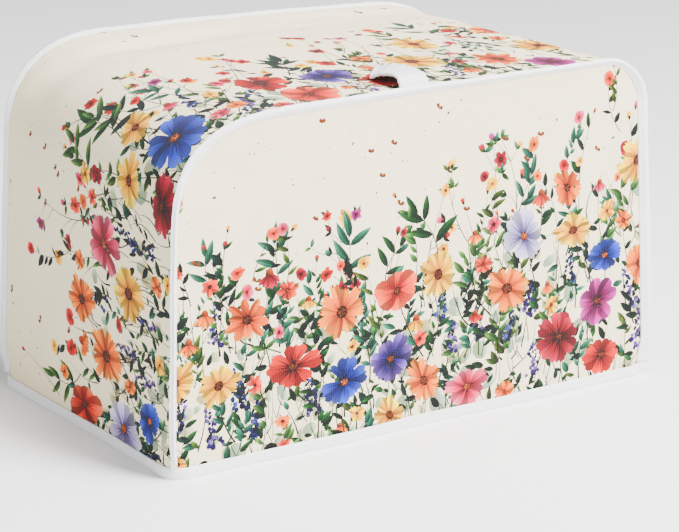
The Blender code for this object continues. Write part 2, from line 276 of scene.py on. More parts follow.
def band_point(spot, deep=0.0):
    """Points of the band from lengths along it and back from the front seam"""
    along, back = spot[:, 0], spot[:, 1]
    place = np.interp(along, ALONG, PLACES)
    near_edge = np.minimum(back, RUN - back)
    relief = ripple(along, back) + crease_relief(along, back)
    relief = relief * smooth(near_edge / 0.02) + pucker(along, near_edge) * smooth(near_edge / 0.004)
    share = np.clip(back / RUN, 0, 1)
    side = np.where(back < RUN / 2, -1.0, 1.0)
    relief = relief * smooth(np.minimum(along, LONG - along) / 0.03)
    return shell_point(place, share, deep - relief, near_edge, side)


class PanelForm:
    """Points of a panel from x and z of its flat outline"""

    def __init__(self, back):
        self.line = LINE_BACK if back else LINE_FRONT
        self.inward = IN_BACK if back else IN_FRONT
        self.side = 1.0 if back else -1.0
        self.share = 1.0 if back else 0.0
        self.tree = KDTree(len(PLACES))
        for number, (x, z) in enumerate(self.line):
            self.tree.insert((x, z, 0.0), number)
        self.tree.balance()

    def inside(self, spot):
        """Distance from the seam line, or below zero outside it"""
        _, number, far = self.tree.find((spot[0], spot[1], 0.0))
        off = np.asarray(spot) - self.line[number]
        return far if float(off @ self.inward[number]) > 0 else -far

    def tuck(self, flat):
        """Inner edge of the panel's cloth, further from the seam than the outer edge"""
        moved = flat.copy()
        for number, spot in enumerate(flat):
            far = self.inside(spot)
            if far < RIM_INNER:
                near = self.tree.find((spot[0], spot[1], 0.0))[1]
                moved[number] += self.inward[near] * (RIM_INNER - far)
        return moved

    def __call__(self, spot, deep=0.0):
        x, z = spot[:, 0], spot[:, 1]
        found = [self.tree.find((a, b, 0.0)) for a, b in spot]
        number = np.array([hit[1] for hit in found])
        off = spot - self.line[number]
        inside = (off * self.inward[number]).sum(1)
        far = np.array([hit[2] for hit in found])
        inside = np.where(far > CORNER_HEM, far, inside)
        relief = ripple(x + 0.3, z + 0.1 * self.side) * smooth(far / 0.02)
        relief += pucker(ALONG[number] + 0.05, far) * smooth(far / 0.004)
        relief *= smooth(z / 0.03)
        base = z - self.inward[number, 1] * inside
        new_inside, behind = round_corner(inside, deep - relief, base)
        shift = (new_inside - inside)[:, None] * self.inward[number]
        return drape(x + shift[:, 0], self.side * (FACE - behind), z + shift[:, 1], np.zeros_like(x))


NORMAL_STEP = 0.0004


def normals_at(form, spot, deep=0.0, outward=1.0):
    """Unit normals of a form, from small steps along its two directions"""
    here = form(spot, deep)
    ahead = form(spot + np.array([NORMAL_STEP, 0]), deep) - here
    above = form(spot + np.array([0, NORMAL_STEP]), deep) - here
    normal = np.cross(ahead, above) * outward
    return normal / np.maximum(np.linalg.norm(normal, axis=1), 1e-12)[:, None]


# Colours as seen, 0 to 255. A three-colour set runs from the base of a shape to its tip.
CREAM = (243, 229, 192)
INSIDE = (226, 223, 214)
FLOWER_COLOURS = {
    "orange": ((190, 92, 8), (242, 150, 10), (252, 182, 24)),
    "golden": ((212, 146, 2), (250, 200, 8), (255, 224, 40)),
    "amber": ((156, 72, 6), (232, 134, 6), (248, 166, 18)),
    "blue": ((28, 40, 106), (60, 88, 178), (116, 136, 212)),
    "red": ((110, 6, 14), (204, 22, 30), (232, 66, 52)),
    "pink": ((152, 26, 74), (222, 78, 124), (244, 148, 176)),
    "crimson": ((92, 4, 42), (170, 14, 70), (210, 58, 112)),
    "coral": ((176, 48, 30), (230, 98, 66), (246, 152, 118)),
    "lilac": ((140, 128, 174), (194, 186, 216), (224, 219, 232)),
    "violet": ((50, 28, 92), (98, 68, 150), (166, 140, 202)),
    "indigo": ((22, 30, 80), (52, 68, 134), (110, 122, 186)),
    "magenta": ((106, 10, 82), (176, 44, 142), (214, 110, 190)),
}
GREENS = (
    ((12, 54, 50), (22, 84, 74), (48, 116, 98)),
    ((20, 70, 40), (44, 112, 66), (88, 150, 96)),
    ((16, 46, 36), (30, 72, 52), (52, 100, 70)),
    ((76, 98, 40), (112, 134, 60), (160, 178, 98)),
    ((34, 96, 84), (70, 142, 122), (130, 184, 160)),
    ((60, 104, 58), (108, 150, 88), (168, 196, 128)),
)
WASHES = ((226, 236, 210), (236, 238, 208), (218, 232, 206), (244, 236, 200), (222, 234, 216))
INK_DEPTH = 1.95
STEM_COLOURS = ((22, 58, 44), (30, 76, 56), (54, 92, 48), (26, 48, 50), (84, 84, 48))


def to_linear(colour):
    value = np.asarray(colour, float) / 255
    return np.where(value <= 0.04045, value / 12.92, ((value + 0.055) / 1.055) ** 2.4)


def shade(colour, factor):
    return tuple(min(255.0, channel * factor) for channel in colour)


def tint(colours, chance, spread=0.10):
    factor = 1 + chance.uniform(-spread, spread)
    return [shade(colour, factor * (1 + chance.uniform(-0.04, 0.04))) for colour in colours]


def flat_area(loop):
    """Area inside a loop of points, below zero where it turns right"""
    x, y = np.asarray(loop).T
    return float((x * np.roll(y, -1) - np.roll(x, -1) * y).sum()) / 2


def within(loop, spots):
    """Which spots lie inside a loop"""
    x, y = spots[:, 0, None], spots[:, 1, None]
    ax, ay = loop.T
    bx, by = np.roll(ax, -1), np.roll(ay, -1)
    crosses = (ay > y) != (by > y)
    rise = np.where(by == ay, 1.0, by - ay)
    return (crosses & (x < ax + (y - ay) / rise * (bx - ax))).sum(1) % 2 == 1


def ink(colours):
    """Surface colours of printed ones: ink is deeper than it looks under a bright light"""
    return to_linear(colours) ** INK_DEPTH


class Artwork:
    """Printed shapes on a flat piece, later ones on top, each coloured along a line in up to three stops"""

    def __init__(self):
        self.shapes = []
        self.starts = []
        self.runs = []
        self.stops = []

    def add(self, points, colours, start=None, end=None):
        points = np.asarray(points, float)
        start = points[0] if start is None else np.asarray(start, float)
        end = points[len(points) // 2] if end is None else np.asarray(end, float)
        colours = list(colours) if np.ndim(colours) > 1 else [colours]
        while len(colours) < 3:
            colours.append(colours[-1])
        if flat_area(points) < 0:
            points = points[::-1]
        run = end - start
        self.shapes.append(points)
        self.starts.append(start)
        self.runs.append(run / max(1e-9, float(run @ run)))
        self.stops.append(ink(colours))

    def colour_at(self, shape, spots):
        """Linear colours at spots, for the number of the shape on top there; -1 is bare cloth"""
        starts = np.array([(0.0, 0.0)] + self.starts)[shape + 1]
        runs = np.array([(0.0, 0.0)] + self.runs)[shape + 1]
        stops = np.array([to_linear([CREAM] * 3)] + self.stops)[shape + 1]
        along = np.clip(((spots - starts) * runs).sum(-1), 0, 1)
        low, high = np.clip(along * 2, 0, 1)[:, None], np.clip(along * 2 - 1, 0, 1)[:, None]
        return blend(blend(stops[:, 0], stops[:, 1], low), stops[:, 2], high)


def turned(points, centre, angle, squash=1.0, lean=0.0):
    """Points turned by an angle, then squashed across a leaning line, about a centre"""
    points = np.asarray(points, float)
    angle -= lean
    out = np.stack([
        points[:, 0] * math.cos(angle) - points[:, 1] * math.sin(angle),
        (points[:, 0] * math.sin(angle) + points[:, 1] * math.cos(angle)) * squash,
    ], 1)
    return np.asarray(centre) + np.stack([
        out[:, 0] * math.cos(lean) - out[:, 1] * math.sin(lean),
        out[:, 0] * math.sin(lean) + out[:, 1] * math.cos(lean),
    ], 1)


# Half outlines of petals and leaves, as share of the length and of the width
PETALS = {
    "broad": ((0.0, 0.06), (0.22, 0.20), (0.48, 0.38), (0.72, 0.50), (0.90, 0.44), (1.0, 0.27), (0.92, 0.12)),
    "round": ((0.0, 0.10), (0.20, 0.26), (0.50, 0.46), (0.78, 0.48), (0.95, 0.28)),
    "narrow": ((0.0, 0.14), (0.30, 0.36), (0.60, 0.50), (0.84, 0.38), (0.96, 0.16)),
    "toothed": ((0.0, 0.10), (0.30, 0.30), (0.62, 0.48), (0.92, 0.42), (1.0, 0.26), (0.90, 0.13)),
}


SHADED_FROM = 0.0055        # petal lengths at which a darker half, one vein and three veins are drawn
VEINED_FROM = 0.0085
THREE_VEINS_FROM = 0.0115
HALVED_FROM = 0.0075        # leaf length at which its two halves differ
PETAL_SHARES = {"broad": 5.0, "round": 5.2, "narrow": 4.3, "toothed": 5.0}
HEART_DOME = (
    (-0.10, 0.30), (0.16, 0.28), (0.34, 0.12), (0.38, 0), (0.34, -0.12), (0.16, -0.28), (-0.10, -0.30),
)
FLECKS = ((70, 66, 56), (96, 92, 70), (52, 62, 52))
DOME_COLOURS = ((74, 36, 14), (158, 88, 26), (206, 134, 50))
WING_COLOURS = ((96, 58, 20), (168, 112, 36))
SMALL_HEART = ((92, 44, 16), (214, 134, 40))
PALE_HEART = ((150, 74, 18), (238, 160, 60))
DARK_HEART = ((66, 22, 14), (176, 110, 30))


def outline_of(kind, length, wide):
    """Closed outline along +X, as its left half, tip and right half"""
    half = PETALS[kind]
    left = [(along * length, across * wide) for along, across in half]
    tip = [(length * (1.02 if kind in ("broad", "toothed") else 1.0), 0.0)]
    return left + tip + [(along, -across) for along, across in reversed(left)]


def add_petal(art, centre, angle, length, wide, kind, colours, squash, lean, chance):
    """Petal with a shaded half and, on a large one, veins and a deep throat"""
    outline_points = outline_of(kind, length, wide)
    tip = turned([(length, 0.0)], centre, angle, squash, lean)[0]
    art.add(turned(outline_points, centre, angle, squash, lean), colours, centre, tip)
    if length < SHADED_FROM:
        return
    half = len(outline_points) // 2 + 1
    side = chance.choice((1, -1))
    fold = chance.uniform(-0.10, 0.22)
    shaded = [(along, blend(fold * wide * side * along / length, across * side, 0.97))
              for along, across in outline_points[:half]]
    tone = chance.uniform(0.74, 0.88)
    art.add(turned(shaded, centre, angle, squash, lean), [shade(c, tone) for c in colours], centre, tip)
    if length < VEINED_FROM:
        return
    deep = shade(colours[0], 0.74)
    tones = [deep, shade(colours[0], 0.95), colours[1]]
    for fan in (-0.27, -0.03, 0.21) if length > THREE_VEINS_FROM else (0.0,):
        far, thin = length * chance.uniform(0.52, 0.84), wide * 0.045
        near = length * 0.06
        vein = [(near, thin), (near, -thin), (far, wide * fan - thin * 0.25), (far, wide * fan)]
        art.add(turned(vein, centre, angle, squash, lean), tones, centre, tip)


def add_dot(art, centre, size, colour, squash=1.0, lean=0.0, corners=7):
    ring = [(size * math.cos(k * 2 * math.pi / corners), size * math.sin(k * 2 * math.pi / corners))
            for k in range(corners)]
    art.add(turned(ring, centre, 0.3, squash, lean), [colour, shade(colour, 0.82)])


def add_flower(art, centre, size, kind, petals, colours, chance, squash=None, heart=None):
    """Open flower seen a little from the side"""
    squash = chance.uniform(0.72, 1.0) if squash is None else squash
    lean = chance.uniform(0, math.pi)
    start = chance.uniform(0, 2 * math.pi)
    wide = size * PETAL_SHARES[kind] / petals
    order = list(range(petals))
    chance.shuffle(order)
    for number in order:
        angle = start + 2 * math.pi * (number + chance.uniform(-0.12, 0.12)) / petals
        length = size * chance.uniform(0.80, 1.12)
        add_petal(art, centre, angle, length, wide * chance.uniform(0.82, 1.14), kind,
                  tint(colours, chance), squash, lean, chance)
    heart = heart or SMALL_HEART
    radius = size * (0.17 if kind in ("broad", "round") else 0.23)
    add_dot(art, centre, radius, heart[0], squash, lean, 9)
    dots = 10 if size > 0.012 else 6 if size > 0.006 else 1
    for number in range(dots):
        angle = number * 2.4
        off = radius * 0.78 * math.sqrt(number / dots)
        spot = turned([(off, 0.0)], centre, angle, squash, lean)[0]
        add_dot(art, spot, radius * 0.24, shade(heart[1], chance.uniform(0.75, 1.12)), 1.0, 0.0, 5)


def add_side_flower(art, centre, size, colours, up, chance):
    """Flower seen from the side: hanging petals below a domed heart"""
    for number in range(6):
        angle = up + math.pi + (number - 2.5) * 0.36
        add_petal(art, centre, angle, size * chance.uniform(0.85, 1.1), size * 0.34, "narrow",
                  tint(colours, chance), 1.0, 0.0, chance)
    art.add(turned(np.array(HEART_DOME) * size, centre, up), DOME_COLOURS)


def add_bud(art, centre, size, colours, up, chance):
    art.add(turned(outline_of("round", size, size * 0.62), centre, up), tint(colours, chance))
    green = chance.choice(GREENS[:3])
    art.add(turned(outline_of("narrow", size * 0.5, size * 0.34), centre, up), green)


def add_leaf(art, root, angle, length, wide, colours, chance):
    """Curved leaf; a larger one has a dark and a light half on either side of its rib"""
    bend = chance.uniform(-0.28, 0.28)
    if length < HALVED_FROM:
        half = [(s * length, bend * length * s * s, wide * math.sin(math.pi * s ** 0.8))
                for s in (0.2, 0.45, 0.75)]
        edge = [(0, 0)] + [(x, y + grow) for x, y, grow in half]
        edge += [(length, bend * length)] + [(x, y - grow) for x, y, grow in reversed(half)]
        art.add(turned(edge, root, angle), colours, root, turned([(length, bend * length)], root, angle)[0])
        return
    stops = (0.0, 0.14, 0.34, 0.56, 0.78, 1.0)
    rib = [(length * s, bend * length * s * s) for s in stops]
    swell = [wide * math.sin(math.pi * s ** 0.8) ** 0.8 if 0 < s < 1 else 0.0 for s in stops]
    for side, tone in ((1, 1.0), (-1, 0.80)):
        edge = [(x, y + side * grow) for (x, y), grow in zip(rib, swell)]
        half = turned(rib + edge[-2:0:-1], root, angle)
        art.add(half, [shade(c, tone) for c in colours], half[0], half[len(rib) - 1])


def curve_between(start, end, bow, steps=8):
    """Points of a bowed line between two ends"""
    start, end = np.asarray(start, float), np.asarray(end, float)
    run = end - start
    side = np.array([-run[1], run[0]]) * bow
    spots = [k / steps for k in range(steps + 1)]
    return np.array([start + run * s + side * 4 * s * (1 - s) for s in spots])


def add_line(art, path, wide, colour, thin=0.35):
    """Tapered stroke along a path"""
    path = np.asarray(path, float)
    along = np.gradient(path, axis=0)
    across = np.stack([-along[:, 1], along[:, 0]], 1) / np.linalg.norm(along, axis=1)[:, None]
    taper = wide / 2 * np.linspace(1.0, thin, len(path))[:, None]
    points = np.concatenate([path + across * taper, (path - across * taper)[::-1]])
    art.add(points, [shade(colour, 0.9), colour, shade(colour, 1.2)], path[0], path[-1])


def add_stem(art, root, tip, chance, leaves=True, wide=0.0007):
    path = curve_between(root, tip, chance.uniform(-0.14, 0.14), 10)
    colour = chance.choice(STEM_COLOURS)
    add_line(art, path, wide, colour)
    if leaves:
        greens = chance.choice(GREENS)
        for at in range(2, 9, chance.choice((1, 2, 2, 3))):
            direction = path[at + 1] - path[at]
            angle = math.atan2(direction[1], direction[0])
            angle += chance.choice((1, -1)) * chance.uniform(0.5, 1.0)
            size = chance.uniform(0.0045, 0.0105)
            add_leaf(art, path[at], angle, size, size * chance.uniform(0.14, 0.24),
                     tint(greens, chance), chance)
    return path


SPIKE_STEP = 0.0008
SPIKE_DOT = 0.0017


def add_spike(art, root, up, length, colours, chance, fat=0.0044):
    """Upright cluster of many small blossoms"""
    count = int(length / SPIKE_STEP)
    for number in range(count):
        share = number / count
        reach = fat * (1 - share) ** 0.6 * chance.uniform(-1, 1)
        spot = turned([(length * share, reach)], root, up)[0]
        size = SPIKE_DOT * (1 - 0.45 * share) * chance.uniform(0.8, 1.25)
        colour = tint([chance.choice(colours)], chance, 0.16)[0]
        add_dot(art, spot, size, colour, chance.uniform(0.55, 1.0), chance.uniform(0, 3), 6)
        if chance.random() < 0.12:
            add_dot(art, spot, size * 0.42, shade(colours[2], 1.1), 1.0, 0.0, 5)


def add_speck(art, spot, chance):
    """Drifting seed or dark fleck"""
    kind = chance.random()
    if kind < 0.72:
        size, colour = chance.uniform(0.0003, 0.0007), chance.choice(FLECKS)
        add_dot(art, spot, size, colour, chance.uniform(0.3, 0.8), chance.uniform(0, 3), 5)
    elif kind < 0.9:
        colours = chance.choice((GREENS[1], GREENS[3], GREENS[4]))
        size = chance.uniform(0.0012, 0.0026)
        add_leaf(art, spot, chance.uniform(0, 6.3), size, size * 0.26, colours, chance)
    else:
        for turn in (0.5, -0.5):
            wing = outline_of("round", chance.uniform(0.0022, 0.0032), 0.0022)
            art.add(turned(wing, spot, chance.uniform(0.9, 1.4) + turn * 1.6), WING_COLOURS)


FLECKS_PER_AREA = 4800
# Plants of each kind for every millimetre of width, before the meadow's amount
WASH_SHARE = 0.28
STROKE_SHARE = 0.60
SPRIG_SHARE = 0.16
LEAF_SHARE = 0.70
TALL_SHARE = 0.10
SPIKE_SHARE = 0.050
SMALL_SHARE = 0.105
MIDDLE_SHARE = 0.070
LOWEST_ROOT = -0.004
# Flat piece that a meadow grows on; a bias above 1 crowds it toward the start of its width
Field = namedtuple("Field", "wide tall heights heroes bias")


def scatter(count, field, chance, low=0.0, high=1.0, apart=0.0, taken=None, clear=()):
    """Random spots under a height line, a distance from those taken and out of the cleared circles"""
    taken = [] if taken is None else taken
    found = []
    for _ in range(count * 12):
        if len(found) >= count:
            break
        u = field.wide * chance.random() ** field.bias
        v = float(read_table(field.heights, u)) * chance.uniform(low, high)
        if any((u - x) ** 2 + (v - y) ** 2 < (size * 0.72) ** 2 for x, y, size, *_ in clear):
            continue
        if all((u - x) ** 2 + (v - y) ** 2 > (apart * 0.5 + size * 0.62) ** 2 for x, y, size in taken):
            found.append((u, v))
            taken.append((u, v, apart))
    return found


def add_ground(art, field, chance, many):
    """Pale washes, grass strokes, leafy sprigs and dark leaves behind the flowers"""
    for u, v in scatter(int(many * WASH_SHARE), field, chance, 0.0, 0.80, clear=field.heroes):
        size = chance.uniform(0.003, 0.0065)
        add_dot(art, (u, v), size, chance.choice(WASHES), chance.uniform(0.4, 0.9), chance.uniform(0, 3), 8)
    for u, v in scatter(int(many * STROKE_SHARE), field, chance, -0.10, 0.74, clear=field.heroes):
        length, angle = chance.uniform(0.012, 0.034), math.pi / 2 + chance.gauss(0, 0.36)
        tip = (u + length * math.cos(angle), v + length * math.sin(angle))
        path = curve_between((u, v), tip, chance.uniform(-0.22, 0.22), 4)
        wide = chance.uniform(0.0005, 0.0012)
        add_line(art, path, wide, chance.choice(GREENS)[chance.choice((0, 0, 1))], 0.1)
    for u, v in scatter(int(many * SPRIG_SHARE), field, chance, 0.16, 1.04, clear=field.heroes):
        root = (u + chance.uniform(-0.010, 0.010), v - chance.uniform(0.014, 0.034))
        add_stem(art, root, (u, v), chance, True, 0.0006)
    for u, v in scatter(int(many * LEAF_SHARE), field, chance, -0.02, 0.78, clear=field.heroes):
        size = chance.uniform(0.0045, 0.0100)
        greens = chance.choice(GREENS[:3] + GREENS[:5])
        add_leaf(art, (u, v), chance.uniform(-0.2, 3.34), size, size * chance.uniform(0.15, 0.27),
                 tint(greens, chance, 0.18), chance)


def add_tall(art, field, chance, many):
    """Thin stems that rise above the meadow to buds and small flowers"""
    for u, v in scatter(int(many * TALL_SHARE), field, chance, 0.80, 1.42):
        if v > field.tall * 0.97:
            continue
        root = (u + chance.uniform(-0.018, 0.018), max(LOWEST_ROOT, v - chance.uniform(0.02, 0.05)))
        path = add_stem(art, root, (u, v), chance, chance.random() < 0.75, 0.00055)
        up = math.atan2(*(path[-1] - path[-2])[::-1])
        name = chance.choice(("red", "pink", "golden", "crimson", "coral", "golden", "orange"))
        if chance.random() < 0.5:
            add_bud(art, (u, v), chance.uniform(0.003, 0.0055), FLOWER_COLOURS[name], up, chance)
        else:
            add_flower(art, (u, v), chance.uniform(0.0028, 0.0050), "round", 5, FLOWER_COLOURS[name], chance)


def add_branch(art, root, tip, chance, twigs=4):
    """Thin branching stem with small red and pink flowers, buds and leaves at its twigs' ends"""
    path = curve_between(root, tip, chance.uniform(-0.16, 0.16), 9)
    colour = chance.choice(STEM_COLOURS)
    add_line(art, path, 0.0007, colour)
    heading = math.atan2(tip[1] - root[1], tip[0] - root[0])
    stops = [9] + [chance.randint(2, 8) for _ in range(twigs)]
    for stop in stops:
        angle = heading + chance.choice((1, -1)) * chance.uniform(0.35, 1.0)
        length = 0.0 if stop == 9 else chance.uniform(0.007, 0.018)
        end = path[stop] + length * np.array([math.cos(angle), math.sin(angle)])
        if length:
            add_line(art, curve_between(path[stop], end, chance.uniform(-0.2, 0.2), 3), 0.00048, colour)
        name = chance.choice(("red", "red", "pink", "magenta", "golden", "crimson"))
        kind = chance.random()
        for _ in range(2 if kind < 0.75 else 4):
            size = chance.uniform(0.0035, 0.0066)
            add_leaf(art, end, angle + chance.uniform(-1.8, 1.8), size, size * 0.22,
                     tint(chance.choice(GREENS[1:]), chance), chance)
        if kind < 0.5:
            add_flower(art, end, chance.uniform(0.0032, 0.0054), "narrow", 6, FLOWER_COLOURS[name], chance)
        elif kind < 0.75:
            add_bud(art, end, chance.uniform(0.0040, 0.0062), FLOWER_COLOURS[name], angle, chance)


def add_bold_sprig(art, root, up, size, chance):
    """Three or more long pointed leaves on a short stem"""
    tip = np.asarray(root) + size * np.array([math.cos(up), math.sin(up)])
    path = curve_between(root, tip, chance.uniform(-0.2, 0.2), 6)
    add_line(art, path, 0.0008, STEM_COLOURS[0])
    greens = chance.choice(GREENS[:2] + GREENS[4:])
    for stop, turn in ((6, 0.0), (5, 0.7), (5, -0.8), (3, 0.9), (2, -0.95)):
        length = size * chance.uniform(0.42, 0.66)
        angle = up + turn + chance.uniform(-0.2, 0.2)
        add_leaf(art, path[stop], angle, length, length * 0.15, greens, chance)


def meadow(art, field, seed, amount=1.0, branches=(), sprigs=()):
    """Wildflower meadow that grows from the base line and thins out above a height line"""
    chance = random.Random(seed)
    many = int(field.wide * 1000 * amount)
    add_ground(art, field, chance, many)
    for root_u, root_v, tip_u, tip_v in branches:
        add_branch(art, (root_u, root_v), (tip_u, tip_v), chance)
    for u, v, up, size in sprigs:
        add_bold_sprig(art, (u, v), math.radians(up), size, chance)

    taken = [(u, v, size * 1.7) for u, v, size, *_ in field.heroes]
    for u, v in scatter(int(many * SPIKE_SHARE), field, chance, 0.10, 0.66, 0.015, taken):
        add_spike(art, (u, v), math.pi / 2 + chance.uniform(-0.35, 0.35), chance.uniform(0.017, 0.027),
                  FLOWER_COLOURS[chance.choice(("violet", "indigo", "indigo", "violet"))], chance)
    add_tall(art, field, chance, many)

    spots = scatter(int(many * SMALL_SHARE), field, chance, 0.05, 1.02, 0.010, taken)
    for u, v in sorted(spots, key=lambda spot: -spot[1]):
        root = (u + chance.uniform(-0.012, 0.012), max(LOWEST_ROOT, v - chance.uniform(0.02, 0.045)))
        add_stem(art, root, (u, v), chance, True)
        name = chance.choice(("golden", "orange", "golden", "coral", "red", "pink", "crimson", "orange"))
        size = chance.uniform(0.0045, 0.0072)
        if chance.random() < 0.35:
            add_side_flower(art, (u, v), size * 1.2, FLOWER_COLOURS[name], math.pi / 2, chance)
        else:
            add_flower(art, (u, v), size, chance.choice(("narrow", "round")), chance.choice((6, 7, 8)),
                       FLOWER_COLOURS[name], chance)
    spots = scatter(int(many * MIDDLE_SHARE), field, chance, 0.15, 1.0, 0.019, taken)
    for u, v in spots + [hero[:2] for hero in field.heroes]:
        root = (u + chance.uniform(-0.017, 0.017), v - chance.uniform(0.03, 0.05))
        add_stem(art, root, (u, v), chance, True, 0.0010)
    for u, v in spots:
        name = chance.choice(("golden", "orange", "amber", "golden", "orange"))
        add_flower(art, (u, v), chance.uniform(0.0098, 0.0128), chance.choice(("toothed", "narrow")),
                   chance.choice((8, 9, 10)), FLOWER_COLOURS[name], chance)
    for u, v, size, name, kind, petals in field.heroes:
        heart = PALE_HEART if name in ("blue", "lilac", "pink") else DARK_HEART
        add_flower(art, (u, v), size, kind, petals, FLOWER_COLOURS[name], chance, None, heart)
    for _ in range(int(field.wide * field.tall * FLECKS_PER_AREA)):
        u, v = chance.uniform(0, field.wide), chance.uniform(0, field.tall)
        if v > float(read_table(field.heights, u)) * 0.9:
            add_speck(art, (u, v), chance)


def find_loop(spots, triangles):
    """Border of a flat set of triangles, as one loop of point numbers turning left"""
    edges = np.concatenate([triangles[:, (0, 1)], triangles[:, (1, 2)], triangles[:, (2, 0)]])
    edges = np.sort(edges, axis=1)
    found, counts = np.unique(edges, axis=0, return_counts=True)
    beside = {}
    for a, b in found[counts == 1].tolist():
        beside.setdefault(a, []).append(b)
        beside.setdefault(b, []).append(a)
    start = next(iter(beside))
    loop = [start, beside[start][0]]
    for _ in range(len(beside) - 2):
        one, other = beside[loop[-1]][:2]
        loop.append(other if one == loop[-2] else one)
    return loop if flat_area(spots[loop]) > 0 else loop[::-1]


def counted_turn(spots, triangles):
    """Triangles all turning the same way on the flat piece"""
    a, b, c = (spots[triangles[:, k]] for k in range(3))
    area = (b[:, 0] - a[:, 0]) * (c[:, 1] - a[:, 1]) - (b[:, 1] - a[:, 1]) * (c[:, 0] - a[:, 0])
    wrong = area < 0
    triangles[wrong] = triangles[wrong][:, ::-1]
    return triangles


def top_shapes(art, middles, origins):
    """Number of the uppermost shape over each triangle, or -1 where the cloth is bare"""
    pairs = [(shape - 1, number) for number, origin in enumerate(origins) for shape in origin if shape > 0]
    top = np.full(len(middles), -1)
    if not pairs:
        return top
    pairs = np.array(pairs)
    pairs = pairs[np.argsort(pairs[:, 0], kind="stable")]
    cuts = np.flatnonzero(np.diff(pairs[:, 0])) + 1
    for group in np.split(pairs, cuts):
        over = within(art.shapes[group[0, 0]], middles[group[:, 1]])
        top[group[over, 1]] = group[0, 0]
    return top


# Distances below which points of a flat piece count as one, and the step along its inner edge
SAME_PRINT = 1.5e-5
SAME_AGAIN = 1e-7
SAME_INNER = 1e-6
INNER_EDGE_STEP = 0.003


def thin_out(spots, step):
    """Positions in a loop of every corner, and of points about a step apart between them"""
    ahead = np.roll(spots, -1, 0) - spots
    ahead /= np.linalg.norm(ahead, axis=1)[:, None]
    corner = (ahead * np.roll(ahead, 1, 0)).sum(1) < 0.8
    picks = [0]
    for number in range(1, len(spots)):
        gap = np.linalg.norm(spots[number] - spots[picks[-1]])
        if corner[number] and gap < step / 2 and not corner[picks[-1]]:
            picks.pop()
        if corner[number] or gap > step:
            picks.append(number)
    if np.linalg.norm(spots[picks[-1]] - spots[0]) < step / 2:
        picks.pop()
    return picks


def rim_strip(loop, picks, inner):
    """Triangles from a fine outer loop to a coarse inner one that matches it at the picked positions"""
    faces = []
    for number, start in enumerate(picks):
        here, after = inner[number], inner[(number + 1) % len(inner)]
        end = picks[number + 1] if number + 1 < len(picks) else len(loop)
        middle = (start + end) // 2
        for k in range(start, end):
            faces.append((loop[(k + 1) % len(loop)], loop[k], here if k < middle else after))
        faces.append((loop[middle], here, after))
    return faces


def drop_covered(flat, outer, top, keep):
    """The same coloured cloth, triangulated again without the edges that later shapes cover"""
    left = {}
    for (a, b, c), shape in zip(outer.tolist(), top.tolist()):
        left[a, b] = left[b, c] = left[c, a] = shape
    seen = {edge: shape for edge, shape in left.items() if left.get(edge[::-1], shape) != shape}
    loop = [int(spot) for spot in find_loop(flat, outer)]
    used = sorted({end for edge in seen for end in edge} | keep | set(loop))
    new = {old: number for number, old in enumerate(used)}
    edges = [(new[a], new[b]) for a, b in seen if a < b or (b, a) not in seen]
    region = [new[spot] for spot in loop]
    found = delaunay_2d_cdt([Vector(flat[old]) for old in used], edges, [region], 1, SAME_AGAIN, True)
    flat = np.array([tuple(point) for point in found[0]])
    faces = np.array([face for face, origin in zip(found[2], found[5]) if 0 in origin])
    faces = counted_turn(flat, faces)
    old_of = [used[olds[0]] if olds else -1 for olds in found[3]]
    sides = {}
    for number, (a, b, c) in enumerate(faces.tolist()):
        sides[a, b] = sides[b, c] = sides[c, a] = number
    label = {}
    for (a, b), number in sides.items():
        if (old_of[a], old_of[b]) in seen:
            label[number] = seen[old_of[a], old_of[b]]
    waiting = list(label)
    while waiting:
        number = waiting.pop()
        a, b, c = faces[number].tolist()
        for edge in ((b, a), (c, b), (a, c)):
            beside = sides.get(edge)
            ends = old_of[edge[0]], old_of[edge[1]]
            if beside is None or beside in label or ends in seen or ends[::-1] in seen:
                continue
            label[beside] = label[number]
            waiting.append(beside)
    return flat, faces, np.array([label.get(number, -1) for number in range(len(faces))])


